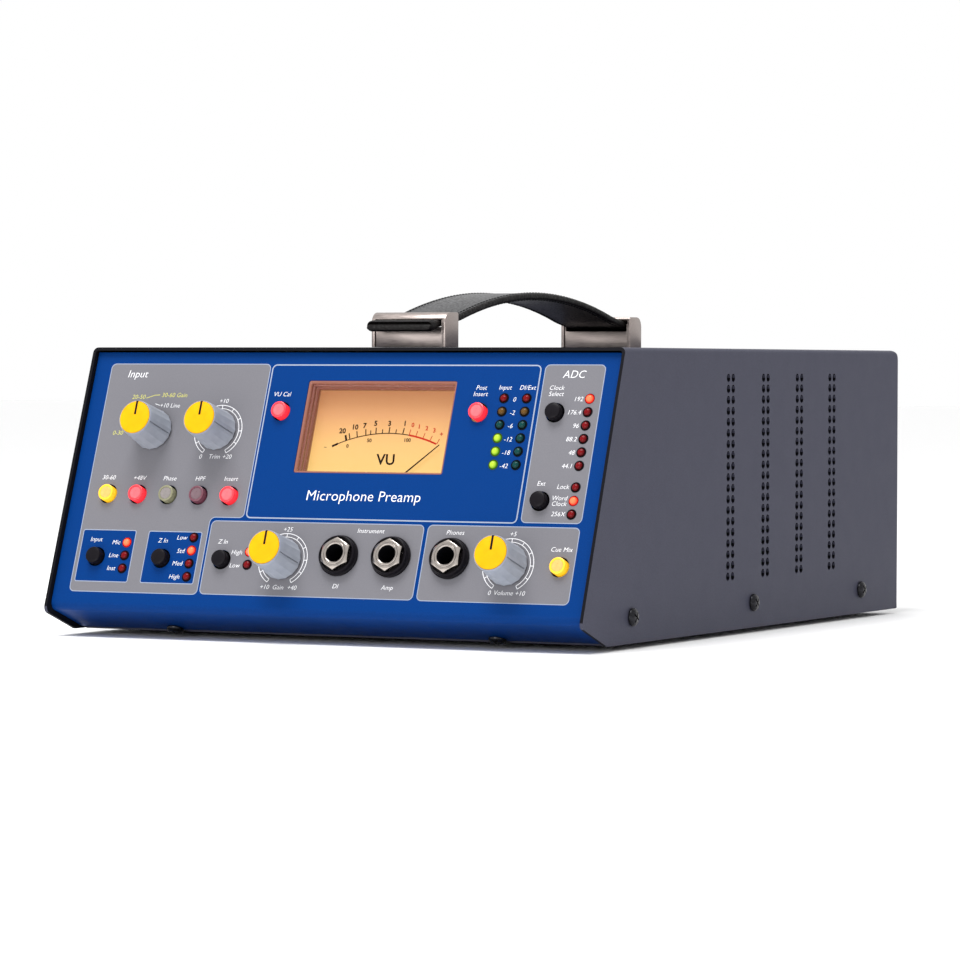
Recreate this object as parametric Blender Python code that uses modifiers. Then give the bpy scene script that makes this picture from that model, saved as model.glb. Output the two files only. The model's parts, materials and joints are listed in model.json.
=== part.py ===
"""Microphone preamp: a desktop case with a sloping control panel, a meter window and a strap handle.

Metres, +Z up. The origin is on the surface that it stands on, below the middle of the preamp, and the
controls face -Y. Places on the control panel are given as (across, down): across is along +X from the
middle, and down is along the slope from the panel's top line. A piece's local Z there points out of it.
"""

import math

import bmesh
import bpy
from mathutils import Matrix, Vector

MM = 0.001

# Case
WIDTH = 220 * MM
CASE_HEIGHT = 104.8 * MM
TOP_DEPTH = 262 * MM  # front edge to back edge of the top sheet
SLOPE = math.radians(20)  # how far the control panel leans back from upright
SLOPE_LENGTH = 103.5 * MM
FOLD_LENGTH = 22 * MM  # the lower front, square to the control panel
SHEET = 1.2 * MM  # folded case sheet
PLATE = 1.5 * MM  # front and rear panels
RECESS = 2 * MM  # how far the front panel sits behind the cover's edge
TRAY_FRONT_Y = -119.8 * MM  # just behind the front panel's lower fold
TRAY_FLANGE = 16 * MM
GAP = 0.3 * MM  # between pieces that touch
FRONT_EDGE_Y = -110 * MM  # front edge of the top sheet

# Feet
FOOT_HEIGHT = 2 * MM
FOOT_RADIUS = 8 * MM
FOOT_INSET = 34 * MM

# Side screws and vents, along the case from the top sheet's front edge and up from its bottom edge
SIDE_SCREWS_ALONG = [5.4 * MM, 113.6 * MM, 221.8 * MM]
SIDE_SCREW_UP = 9.4 * MM
FRONT_SCREWS_ACROSS = [-66.4 * MM, 66.4 * MM]
FRONT_SCREW_INWARD = 20.9 * MM  # behind the control panel's face, on the lower fold
SCREW_HEAD_RADIUS = 3.3 * MM
SCREW_HEAD_HEIGHT = 2.2 * MM
SCREW_SHANK_RADIUS = 1.5 * MM
SCREW_SHANK_LENGTH = 4.5 * MM
SCREW_HOLE_RADIUS = 1.9 * MM
HOLE_RADIUS = 1.6 * MM
VENT_BARS = 4
VENT_BAR_PITCH = 33 * MM
VENT_COLUMN_PITCH = 4.4 * MM
VENT_ROW_PITCH = 12.3 * MM
VENT_ROWS = 7
VENT_CENTRE = (142 * MM, 57 * MM)

# Handle
STRAP_WIDTH = 26.6 * MM
STRAP_THICKNESS = 2.5 * MM
STRAP_RISE = 20.5 * MM  # middle of the strap's thickness above the case
STRAP_MIDDLE = 130 * MM  # behind the top sheet's front edge
STRAP_HALF_SPAN = 68 * MM
STRAP_DROP = 8.9 * MM  # how far the arch falls over its half span
STRAP_TAIL_SLOPE = 0.145  # fall of each tail, for its length
STRAP_ENDS = (36.3 * MM, 221.5 * MM)
BRACKET_SIZE = (31 * MM, 11 * MM, 13 * MM)
BRACKET_FRONTS = (44 * MM, 207 * MM)
BRACKET_WALL = 1.3 * MM
BRACKET_BLOCK_HALF = 13.2 * MM
BRACKET_BLOCK_TOP = 6 * MM
BRACKET_ROUND = 4 * MM

# Controls: name, across, down
KNOBS = [
    ("input_gain", -78.2 * MM, 32.0 * MM),
    ("trim", -50.8 * MM, 31.9 * MM),
    ("instrument_gain", -14.0 * MM, 80.8 * MM),
    ("phones_volume", 76.7 * MM, 80.8 * MM),
]
KNOB_BASE_RADIUS = 7.75 * MM
KNOB_TOP_RADIUS = 6.8 * MM
KNOB_HEIGHT = 13 * MM
KNOB_CAP_RADIUS = 6.55 * MM
KNOB_CAP_THICKNESS = 1.7 * MM
SHAFT_RADIUS = 3 * MM
SHAFT_END = -12 * MM

BLACK_BUTTONS = [
    ("input_select_button", -92.5 * MM, 81.7 * MM),
    ("impedance_button", -64.5 * MM, 81.8 * MM),
    ("instrument_impedance_button", -39.0 * MM, 81.7 * MM),
    ("clock_select_button", 85.8 * MM, 24.2 * MM),
    ("external_clock_button", 85.5 * MM, 57.2 * MM),
]
LIT_BUTTONS = [
    ("gain_range_button", -92.4 * MM, 57.3 * MM),
    ("phantom_power_button", -79.6 * MM, 57.3 * MM),
    ("phase_button", -66.6 * MM, 57.3 * MM),
    ("high_pass_button", -53.6 * MM, 57.3 * MM),
    ("insert_button", -40.6 * MM, 57.3 * MM),
    ("meter_calibration_button", -25.4 * MM, 24.4 * MM),
    ("post_insert_button", 55.4 * MM, 24.3 * MM),
    ("cue_mix_button", 97.2 * MM, 81.3 * MM),
]
BUTTON_RADIUS = 3.6 * MM
BLACK_BUTTON_STAND = 3 * MM
LIT_BUTTON_STAND = 2.3 * MM
BUTTON_INNER_END = -7 * MM

# Lamps: each bank is a list of columns (across, first down, how many)
LAMP_PITCH = 5 * MM
LAMP_RADIUS = 1.66 * MM
LAMP_STAND = 1 * MM
LAMP_STRIP_FRONT = -4 * MM
LAMP_STRIP_THICKNESS = 3 * MM
LAMP_STRIP_MARGIN = 2.4 * MM
LAMP_BANKS = {
    "clock_lamps": [(98.1 * MM, 18.6 * MM, 6), (98.1 * MM, 51.6 * MM, 3)],
    "level_lamps": [(64.3 * MM, 18.6 * MM, 6), (73.3 * MM, 18.6 * MM, 6)],
    "input_lamps": [(-80.8 * MM, 75.7 * MM, 3)],
    "impedance_lamps": [(-52.8 * MM, 73.2 * MM, 4)],
    "instrument_lamps": [(-28.4 * MM, 78.1 * MM, 2)],
}

# Front sockets
FRONT_JACKS = [
    ("instrument_jack", 8.9 * MM),
    ("amplifier_jack", 30.1 * MM),
    ("phones_jack", 53.5 * MM),
]
JACK_DOWN = 79 * MM
JACK_BORE_RADIUS = 3.2 * MM
JACK_BUSH_RADIUS = 4.8 * MM
JACK_RING_RADIUS = 7.2 * MM
JACK_RING_THICKNESS = 3 * MM
JACK_NUT_ACROSS_FLATS = 11.3 * MM
JACK_NUT_TOP = 4.5 * MM
JACK_BODY = (13 * MM, 13 * MM, 19 * MM)
JACK_BORE_DEPTH = 17 * MM

# Meter, as (lowest, highest) across and down
WINDOW_ACROSS = (-16.3 * MM, 44.5 * MM)
WINDOW_DOWN = (12.1 * MM, 47.6 * MM)
METER_WALL = 1.2 * MM
METER_DEPTH = 17 * MM
METER_BOTTOM = 61 * MM
DIAL_OUT = -8 * MM
DIAL_THICKNESS = 0.8 * MM
DIAL_BOTTOM = 51 * MM
NEEDLE_PIVOT = (14.1 * MM, 55.5 * MM)
NEEDLE_LENGTH = 32 * MM
NEEDLE_LEAN = math.radians(47.7)  # right-hand stop, from upright
NEEDLE_OUT = -6.7 * MM

# Inside
BOARD_THICKNESS = 1.6 * MM
FRONT_BOARD_OUT = -22 * MM
POT_SIZE = (12 * MM, 12 * MM)
SWITCH_SIZE = (8 * MM, 8 * MM)

# Back
REAR_PANEL_INSET = 4 * MM
REAR_ROW_UP = 60 * MM  # middle of the sockets, above the case's bottom edge
AUDIO_SOCKETS = [("microphone_input", 72 * MM), ("line_output", 28 * MM)]
SOCKET_PLATE = (26 * MM, 31 * MM, 1.6 * MM)
SOCKET_SHELL_RADIUS = 11.5 * MM
SOCKET_MOUTH_RADIUS = 9 * MM
SOCKET_DEPTH = 22 * MM
SOCKET_MOUTH_DEPTH = 14 * MM
INLET_ACROSS = -76 * MM
INLET_PLATE = (50 * MM, 28 * MM, 1.8 * MM)
INLET_BODY = (28 * MM, 20 * MM, 22 * MM)
INLET_MOUTH = (24 * MM, 16 * MM, 15 * MM)
SWITCH_ACROSS = -32 * MM
SWITCH_PLATE = (21 * MM, 15 * MM, 1.6 * MM)
SWITCH_BODY = (18.6 * MM, 12.6 * MM, 16 * MM)
ROCKER_SIZE = (14 * MM, 10 * MM)
ROCKER_TILT = math.radians(8)

# Derived places
HALF_WIDTH = WIDTH / 2
CASE_BOTTOM = FOOT_HEIGHT
CASE_TOP = FOOT_HEIGHT + CASE_HEIGHT
BACK_Y = FRONT_EDGE_Y + TOP_DEPTH
DOWN_SLOPE = Vector((0, -math.sin(SLOPE), -math.cos(SLOPE)))
OUT_OF_PANEL = Vector((0, -math.cos(SLOPE), math.sin(SLOPE)))
PANEL_ORIGIN = Vector((0, FRONT_EDGE_Y, CASE_TOP)) - RECESS * OUT_OF_PANEL
INSIDE_HALF_WIDTH = HALF_WIDTH - SHEET - GAP
REAR_FACE_Y = BACK_Y - REAR_PANEL_INSET
SIDE_NORMALS = (1, -1)


def clear_scene():
    for obj in list(bpy.data.objects):
        bpy.data.objects.remove(obj, do_unlink=True)


def new_collection(name):
    collection = bpy.data.collections.new(name)
    bpy.context.scene.collection.children.link(collection)
    return collection


clear_scene()
PARTS = new_collection("microphone_preamp")
CUTTERS = new_collection("cutters")


def finish(name, colour, roughness, metallic=0.0):
    """A plain Principled material."""
    material = bpy.data.materials.new(name)
    material.use_nodes = True
    shader = material.node_tree.nodes["Principled BSDF"]
    shader.inputs["Base Color"].default_value = (*colour, 1)
    shader.inputs["Roughness"].default_value = roughness
    shader.inputs["Metallic"].default_value = metallic
    material.diffuse_color = (*colour, 1)
    return material


SLATE_PAINT = finish("slate_paint", (0.085, 0.088, 0.11), 0.45)
BLUE_PAINT = finish("blue_paint", (0.008, 0.06, 0.30), 0.4)
BLACK_PLASTIC = finish("black_plastic", (0.012, 0.012, 0.013), 0.35)
BLACK_RUBBER = finish("black_rubber", (0.02, 0.02, 0.02), 0.8)
BLACK_SCREW = finish("black_screw", (0.02, 0.02, 0.022), 0.35, 0.9)
BLACK_LEATHER = finish("black_leather", (0.015, 0.014, 0.014), 0.55)
GREY_PLASTIC = finish("grey_plastic", (0.42, 0.44, 0.47), 0.4)
YELLOW_PLASTIC = finish("yellow_plastic", (1.0, 0.62, 0.0), 0.4)
LAMP_RED = finish("lamp_red", (0.75, 0.03, 0.02), 0.3)
BARE_STEEL = finish("bare_steel", (0.5, 0.5, 0.5), 0.4, 1.0)
NICKEL = finish("nickel", (0.55, 0.50, 0.46), 0.35, 1.0)
CLEAR_PANE = finish("clear_pane", (0.95, 0.9, 0.8), 0.05)
DIAL_AMBER = finish("dial_amber", (0.95, 0.6, 0.2), 0.6)
BOARD_GREEN = finish("board_green", (0.02, 0.2, 0.06), 0.5)
WINDING_TAPE = finish("winding_tape", (0.75, 0.45, 0.12), 0.5)
METER_CASE = finish("meter_case", (0.6, 0.3, 0.1), 0.3)


def link(name, mesh, material, parent=None, at=(0, 0, 0), turn=(0, 0, 0)):
    """One sub-part, with its own material."""
    obj = bpy.data.objects.new(name, mesh)
    PARTS.objects.link(obj)
    obj.data.materials.append(material)
    obj.parent = parent
    obj.location = at
    obj.rotation_euler = turn
    return obj


def link_cutter(name, mesh, parent=None, at=(0, 0, 0), turn=(0, 0, 0)):
    """A hidden shape that another object is cut by or joined to."""
    obj = bpy.data.objects.new(name, mesh)
    CUTTERS.objects.link(obj)
    obj.parent = parent
    obj.location = at
    obj.rotation_euler = turn
    obj.hide_render = True
    obj.display_type = "WIRE"
    return obj


def combine(obj, operation, other):
    modifier = obj.modifiers.new(operation.lower(), "BOOLEAN")
    modifier.operation = operation
    modifier.object = other


def mesh_from(bm, name="shape"):
    mesh = bpy.data.meshes.new(name)
    bmesh.ops.recalc_face_normals(bm, faces=bm.faces)
    bm.to_mesh(mesh)
    bm.free()
    return mesh


def add_box(bm, low, high):
    low = Vector(low)
    high = Vector(high)
    size = high - low
    place = Matrix.Translation((low + high) / 2) @ Matrix.Diagonal((*size, 1))
    bmesh.ops.create_cube(bm, size=1, matrix=place)


def add_rod(bm, at, low, high, radius, sides, end_radius=None):
    """A round rod or a cone along Z, from low to high, over the point at."""
    place = Matrix.Translation((at[0], at[1], (low + high) / 2))
    bmesh.ops.create_cone(
        bm,
        cap_ends=True,
        segments=sides,
        radius1=radius,
        radius2=radius if end_radius is None else end_radius,
        depth=high - low,
        matrix=place,
    )


def boxes_mesh(*boxes):
    bm = bmesh.new()
    for low, high in boxes:
        add_box(bm, low, high)
    return mesh_from(bm)


def centred_box(width, height, low, high):
    return (-width / 2, -height / 2, low), (width / 2, height / 2, high)


def rods_mesh(rods):
    """Separate rods along Z, each (at, low, high, radius, sides)."""
    bm = bmesh.new()
    for rod in rods:
        add_rod(bm, *rod)
    return mesh_from(bm)


def moved_vertices(geometry):
    return [item for item in geometry if isinstance(item, bmesh.types.BMVert)]


def sheet_mesh(path, along):
    """An open strip: a path of points, swept along a vector."""
    bm = bmesh.new()
    vertices = [bm.verts.new(point) for point in path]
    edges = [bm.edges.new(pair) for pair in zip(vertices, vertices[1:])]
    swept = bmesh.ops.extrude_edge_only(bm, edges=edges)["geom"]
    bmesh.ops.translate(bm, verts=moved_vertices(swept), vec=along)
    return mesh_from(bm)


def prism_mesh(outline, along):
    """A closed outline of points, swept along a vector."""
    bm = bmesh.new()
    face = bm.faces.new([bm.verts.new(point) for point in outline])
    swept = bmesh.ops.extrude_face_region(bm, geom=[face])["geom"]
    bmesh.ops.translate(bm, verts=moved_vertices(swept), vec=along)
    return mesh_from(bm)


def thicken(obj, thickness, offset):
    modifier = obj.modifiers.new("thickness", "SOLIDIFY")
    modifier.thickness = thickness
    modifier.offset = offset
    modifier.use_even_offset = True


def turned(name, profile, sides, material, parent=None, at=(0, 0, 0), turn=(0, 0, 0)):
    """A piece turned round its local Z, from a profile of (radius, height) that runs down its outer side."""
    mesh = bpy.data.meshes.new(name)
    points = [(radius, 0, height) for radius, height in profile]
    mesh.from_pydata(points, [(i, i + 1) for i in range(len(points) - 1)], [])
    obj = link(name, mesh, material, parent, at, turn)
    modifier = obj.modifiers.new("turn", "SCREW")
    modifier.steps = sides
    modifier.render_steps = sides
    modifier.use_merge_vertices = True
    modifier.merge_threshold = 0.00001
    return obj


def round_corners(corners, steps=4, closed=True):
    """The points of an outline or a path whose corners, each (x, y, radius), are rounded."""
    points = []
    for index, (x, y, radius) in enumerate(corners):
        corner = Vector((x, y))
        is_end = not closed and index in (0, len(corners) - 1)
        if radius == 0 or is_end:
            points.append(corner)
            continue
        back = (Vector(corners[index - 1][:2]) - corner).normalized()
        ahead = (Vector(corners[(index + 1) % len(corners)][:2]) - corner).normalized()
        half = back.angle(ahead) / 2
        centre = corner + (back + ahead).normalized() * radius / math.sin(half)
        start = corner + back * radius / math.tan(half) - centre
        sweep = math.copysign(math.pi - 2 * half, ahead.cross(back))
        for step in range(steps + 1):
            arm = Matrix.Rotation(sweep * step / steps, 2) @ start
            points.append(centre + arm)
    return points


def side_outline():
    """The side view of the cover, as (y, z) corners with their radii."""
    top_front = Vector((FRONT_EDGE_Y, CASE_TOP))
    nose = top_front + SLOPE_LENGTH * DOWN_SLOPE.yz
    fold_end = nose - FOLD_LENGTH * OUT_OF_PANEL.yz
    return [
        (*top_front, 0),
        (*nose, 2.5 * MM),
        (fold_end.x, CASE_BOTTOM, 1 * MM),
        (BACK_Y, CASE_BOTTOM, 1 * MM),
        (BACK_Y, CASE_TOP, 4 * MM),
    ]


def vent_places():
    """(along, up) of each hole: upright bars, each two holes wide."""
    places = []
    for bar in range(VENT_BARS):
        middle = VENT_CENTRE[0] + (bar - (VENT_BARS - 1) / 2) * VENT_BAR_PITCH
        for side in (-0.5, 0.5):
            for row in range(VENT_ROWS):
                up = VENT_CENTRE[1] + (row - (VENT_ROWS - 1) / 2) * VENT_ROW_PITCH
                places.append((middle + side * VENT_COLUMN_PITCH, up))
    return places


def side_holes_mesh(places, radius, sides):
    """Rods right through the case along X, at each (along, up)."""
    bm = bmesh.new()
    for along, up in places:
        place = Matrix.Translation((0, FRONT_EDGE_Y + along, CASE_BOTTOM + up))
        bmesh.ops.create_cone(
            bm,
            cap_ends=True,
            segments=sides,
            radius1=radius,
            radius2=radius,
            depth=WIDTH + 20 * MM,
            matrix=place @ Matrix.Rotation(math.pi / 2, 4, "Y"),
        )
    return mesh_from(bm)


def build_cover():
    bend = 2 * MM
    section = round_corners(
        [
            (-HALF_WIDTH, CASE_BOTTOM - bend, 0),
            (-HALF_WIDTH, CASE_TOP, bend),
            (HALF_WIDTH, CASE_TOP, bend),
            (HALF_WIDTH, CASE_BOTTOM - bend, 0),
        ],
        closed=False,
    )
    start_y = FRONT_EDGE_Y - SLOPE_LENGTH / 2
    path = [(x, start_y, z) for x, z in section]
    length = BACK_Y + bend - start_y
    cover = link("outer_cover", sheet_mesh(path, (0, length, 0)), SLATE_PAINT)
    thicken(cover, SHEET, -1)
    outline = [(-WIDTH, y, z) for y, z in round_corners(side_outline())]
    combine(cover, "INTERSECT", link_cutter("cover_trim", prism_mesh(outline, (2 * WIDTH, 0, 0))))
    vents = side_holes_mesh(vent_places(), HOLE_RADIUS, 6)
    combine(cover, "DIFFERENCE", link_cutter("vent_cutter", vents))
    screw_places = [(along, SIDE_SCREW_UP) for along in SIDE_SCREWS_ALONG]
    screw_holes = side_holes_mesh(screw_places, SCREW_HOLE_RADIUS, 8)
    cutter = link_cutter("side_screw_holes", screw_holes)
    combine(cover, "DIFFERENCE", cutter)
    return cutter


def build_tray(screw_holes):
    bend = 1.5 * MM
    section = round_corners(
        [
            (-INSIDE_HALF_WIDTH, CASE_BOTTOM + TRAY_FLANGE, 0),
            (-INSIDE_HALF_WIDTH, CASE_BOTTOM, bend),
            (INSIDE_HALF_WIDTH, CASE_BOTTOM, bend),
            (INSIDE_HALF_WIDTH, CASE_BOTTOM + TRAY_FLANGE, 0),
        ],
        steps=2,
        closed=False,
    )
    length = REAR_FACE_Y - PLATE - GAP - TRAY_FRONT_Y
    path = [(x, TRAY_FRONT_Y, z) for x, z in section]
    tray = link("base_tray", sheet_mesh(path, (0, length, 0)), SLATE_PAINT)
    thicken(tray, SHEET, -1)
    combine(tray, "DIFFERENCE", screw_holes)


def build_feet():
    for end, y in (("front", FRONT_EDGE_Y + FOOT_INSET / 2), ("rear", BACK_Y - FOOT_INSET)):
        for side, x in (("left", FOOT_INSET - HALF_WIDTH), ("right", HALF_WIDTH - FOOT_INSET)):
            top = FOOT_HEIGHT - GAP
            profile = [(0, top), (FOOT_RADIUS, top), (FOOT_RADIUS - 0.7 * MM, 0), (0, 0)]
            turned(f"{end}_{side}_foot", profile, 16, BLACK_RUBBER, at=(x, y, 0))


def build_screws(panel):
    profile = [
        (0, SCREW_HEAD_HEIGHT),
        (SCREW_HEAD_RADIUS * 0.7, SCREW_HEAD_HEIGHT * 0.85),
        (SCREW_HEAD_RADIUS, GAP),
        (SCREW_SHANK_RADIUS, GAP),
        (SCREW_SHANK_RADIUS, -SCREW_SHANK_LENGTH),
        (0, -SCREW_SHANK_LENGTH),
    ]
    for side, normal in zip(("right", "left"), SIDE_NORMALS):
        for end, along in zip(("front", "middle", "rear"), SIDE_SCREWS_ALONG):
            at = (normal * HALF_WIDTH, FRONT_EDGE_Y + along, CASE_BOTTOM + SIDE_SCREW_UP)
            turned(f"{end}_{side}_screw", profile, 10, BLACK_SCREW, at=at, turn=(0, normal * math.pi / 2, 0))
    for side, across in zip(("left", "right"), FRONT_SCREWS_ACROSS):
        at = (across, RECESS - SLOPE_LENGTH, -FRONT_SCREW_INWARD)
        turned(f"panel_{side}_screw", profile, 10, BLACK_SCREW, panel, at, (math.pi / 2, 0, 0))


def strap_height(along):
    """Height of the strap's middle above the case: an arch, and a straight tail through each bracket."""
    reach = (along - STRAP_MIDDLE) / STRAP_HALF_SPAN
    if abs(reach) <= 1:
        return STRAP_RISE - STRAP_DROP * reach**2
    return STRAP_RISE - STRAP_DROP - STRAP_TAIL_SLOPE * (abs(reach) - 1) * STRAP_HALF_SPAN


def build_strap():
    steps = 22
    start, end = STRAP_ENDS
    path = []
    for step in range(steps + 1):
        along = start + (end - start) * step / steps
        path.append((-STRAP_WIDTH / 2, FRONT_EDGE_Y + along, CASE_TOP + strap_height(along)))
    strap = link("handle_strap", sheet_mesh(path, (STRAP_WIDTH, 0, 0)), BLACK_LEATHER)
    thicken(strap, STRAP_THICKNESS, 0)


def build_brackets():
    """Each bracket is a loop that the strap goes through, over a block on the case."""
    width, length, height = BRACKET_SIZE
    for name, front in zip(("front_handle_bracket", "rear_handle_bracket"), BRACKET_FRONTS):
        is_front = name.startswith("front")
        base = Vector((0, FRONT_EDGE_Y + front, CASE_TOP + GAP))
        outline = round_corners(
            [
                (0, 0, 0),
                (length, 0, 0),
                (length, height, 0.5 * MM if is_front else BRACKET_ROUND),
                (0, height, BRACKET_ROUND if is_front else 0.5 * MM),
            ],
            steps=3,
        )
        prism = prism_mesh([(-width / 2, y, z) for y, z in outline], (width, 0, 0))
        bracket = link(name, prism, NICKEL, at=base)
        inner = width / 2 - BRACKET_WALL
        over = 1 * MM
        slot = boxes_mesh(((-inner, -over, BRACKET_BLOCK_TOP), (inner, length + over, height - BRACKET_WALL)))
        combine(bracket, "DIFFERENCE", link_cutter(name + "_slot", slot, at=base))
        grooves = boxes_mesh(
            *[
                (
                    (min(side * inner, side * BRACKET_BLOCK_HALF), -over, BRACKET_WALL),
                    (max(side * inner, side * BRACKET_BLOCK_HALF), length + over, height / 2),
                )
                for side in SIDE_NORMALS
            ]
        )
        combine(bracket, "DIFFERENCE", link_cutter(name + "_grooves", grooves, at=base))


def build_front_panel(panel):
    """A plate down the slope with a fold at its lower edge, pierced for every control."""
    top = 1.3 * MM
    fold_down = SLOPE_LENGTH - RECESS
    fold_in = FOLD_LENGTH + 1.5 * MM
    section = round_corners(
        [(-top, 0, 0), (-fold_down, 0, 3 * MM), (-fold_down, -fold_in, 0)],
        closed=False,
    )
    path = [(-INSIDE_HALF_WIDTH, y, z) for y, z in section]
    plate = link(
        "front_panel",
        sheet_mesh(path, (2 * INSIDE_HALF_WIDTH, 0, 0)),
        BLUE_PAINT,
        panel,
    )
    thicken(plate, PLATE, -1)
    low = -3 * PLATE
    high = 2 * PLATE
    rods = [((across, -down), low, high, SHAFT_RADIUS + 0.4 * MM, 12) for _, across, down in KNOBS]
    for _, across, down in BLACK_BUTTONS + LIT_BUTTONS:
        rods.append(((across, -down), low, high, BUTTON_RADIUS + GAP, 12))
    for _, across in FRONT_JACKS:
        rods.append(((across, -JACK_DOWN), low, high, JACK_BUSH_RADIUS + GAP, 12))
    for columns in LAMP_BANKS.values():
        for place in lamp_places(columns):
            rods.append((place, low, high, LAMP_RADIUS + GAP, 8))
    combine(plate, "DIFFERENCE", link_cutter("control_holes", rods_mesh(rods), panel))
    left, right = WINDOW_ACROSS
    window = boxes_mesh(((left, -WINDOW_DOWN[1], low), (right, -WINDOW_DOWN[0], high)))
    combine(plate, "DIFFERENCE", link_cutter("window_cutter", window, panel))
    screws = [
        ((across, -FRONT_SCREW_INWARD), -high, high, SCREW_HOLE_RADIUS, 8)
        for across in FRONT_SCREWS_ACROSS
    ]
    at = (0, -fold_down, 0)
    cutter = link_cutter("panel_screw_holes", rods_mesh(screws), panel, at, (math.pi / 2, 0, 0))
    combine(plate, "DIFFERENCE", cutter)


def build_knobs(panel):
    for name, across, down in KNOBS:
        at = (across, -down, 0)
        profile = [
            (0, KNOB_HEIGHT),
            (KNOB_TOP_RADIUS, KNOB_HEIGHT),
            (KNOB_BASE_RADIUS, 1.5 * MM),
            (KNOB_BASE_RADIUS, 0.5 * MM),
            (SHAFT_RADIUS, 0.5 * MM),
            (SHAFT_RADIUS, SHAFT_END),
            (0, SHAFT_END),
        ]
        turned(name + "_knob", profile, 16, GREY_PLASTIC, panel, at)
        low = KNOB_HEIGHT + GAP
        high = low + KNOB_CAP_THICKNESS
        edge = 0.4 * MM
        cap_profile = [
            (0, high),
            (KNOB_CAP_RADIUS - edge, high),
            (KNOB_CAP_RADIUS, high - edge),
            (KNOB_CAP_RADIUS, low),
            (0, low),
        ]
        cap = turned(name + "_cap", cap_profile, 16, YELLOW_PLASTIC, panel, at)
        pointer = boxes_mesh(((-0.45 * MM, 1 * MM, high - GAP), (0.45 * MM, 2 * KNOB_CAP_RADIUS, high + edge)))
        combine(cap, "DIFFERENCE", link_cutter(name + "_pointer", pointer, panel, at))


def build_buttons(panel):
    kinds = (
        (BLACK_BUTTONS, BLACK_BUTTON_STAND, BLACK_PLASTIC),
        (LIT_BUTTONS, LIT_BUTTON_STAND, LAMP_RED),
    )
    edge = 0.4 * MM
    for buttons, stand, material in kinds:
        profile = [
            (0, stand),
            (BUTTON_RADIUS - edge, stand),
            (BUTTON_RADIUS, stand - edge),
            (BUTTON_RADIUS, BUTTON_INNER_END),
            (0, BUTTON_INNER_END),
        ]
        for name, across, down in buttons:
            turned(name, profile, 12, material, panel, (across, -down, 0))


def lamp_places(columns):
    return [(across, -first - row * LAMP_PITCH) for across, first, count in columns for row in range(count)]


def build_lamps(panel):
    """Each bank is a holder strip behind the panel, with a lamp through each hole."""
    for name, columns in LAMP_BANKS.items():
        places = lamp_places(columns)
        across = [place[0] for place in places]
        up = [place[1] for place in places]
        back = LAMP_STRIP_FRONT - LAMP_STRIP_THICKNESS
        low = (min(across) - LAMP_STRIP_MARGIN, min(up) - LAMP_STRIP_MARGIN, back)
        high = (max(across) + LAMP_STRIP_MARGIN, max(up) + LAMP_STRIP_MARGIN, LAMP_STRIP_FRONT)
        strip = link(name, boxes_mesh((low, high)), LAMP_RED, panel)
        seat = LAMP_STRIP_FRONT - LAMP_STRIP_THICKNESS / 2
        lamps = rods_mesh([(place, seat, LAMP_STAND, LAMP_RADIUS, 8) for place in places])
        combine(strip, "UNION", link_cutter(name + "_lenses", lamps, panel))


def build_front_jacks(panel):
    """Each socket is a body behind the panel, a threaded bush through it, and a ring and a nut in front."""
    body_top = -PLATE - GAP
    width, height, depth = JACK_BODY
    nut_radius = JACK_NUT_ACROSS_FLATS / math.sqrt(3)
    for name, across in FRONT_JACKS:
        at = (across, -JACK_DOWN, 0)
        body = boxes_mesh(centred_box(width, height, body_top - depth, body_top))
        jack = link(name, body, BARE_STEEL, panel, at)
        pieces = (
            ("bush", body_top - depth / 2, JACK_RING_THICKNESS / 2, JACK_BUSH_RADIUS, 12),
            ("ring", GAP, JACK_RING_THICKNESS, JACK_RING_RADIUS, 20),
            ("nut", JACK_RING_THICKNESS / 2, JACK_NUT_TOP, nut_radius, 6),
        )
        for piece, low, high, radius, sides in pieces:
            rod = rods_mesh([((0, 0), low, high, radius, sides)])
            combine(jack, "UNION", link_cutter(f"{name}_{piece}", rod, panel, at))
        bore = rods_mesh([((0, 0), -JACK_BORE_DEPTH, 2 * JACK_NUT_TOP, JACK_BORE_RADIUS, 12)])
        combine(jack, "DIFFERENCE", link_cutter(name + "_bore", bore, panel, at))


def build_meter(panel):
    left, right = WINDOW_ACROSS
    top, bottom = WINDOW_DOWN
    front = -PLATE - GAP
    back = front - METER_DEPTH
    wall = METER_WALL
    low = (left - GAP - wall, -METER_BOTTOM - wall, back)
    high = (right + GAP + wall, GAP + wall - top, front)
    housing = link("meter_housing", boxes_mesh((low, high)), METER_CASE, panel)
    room = boxes_mesh(((left - GAP, -METER_BOTTOM, back + wall), (right + GAP, GAP - top, wall)))
    combine(housing, "DIFFERENCE", link_cutter("meter_room", room, panel))
    post = rods_mesh([((NEEDLE_PIVOT[0], -NEEDLE_PIVOT[1]), back + wall / 2, DIAL_OUT - 2.5 * MM, 2 * MM, 8)])
    combine(housing, "UNION", link_cutter("needle_post", post, panel))

    dial = boxes_mesh(((left, -DIAL_BOTTOM, DIAL_OUT - DIAL_THICKNESS), (right, -top, DIAL_OUT)))
    link("meter_dial", dial, DIAL_AMBER, panel)
    pane = boxes_mesh(((left + GAP, GAP - bottom, -PLATE), (right - GAP, -top - GAP, -GAP)))
    link("meter_window", pane, CLEAR_PANE, panel)
    build_needle(panel)


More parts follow.
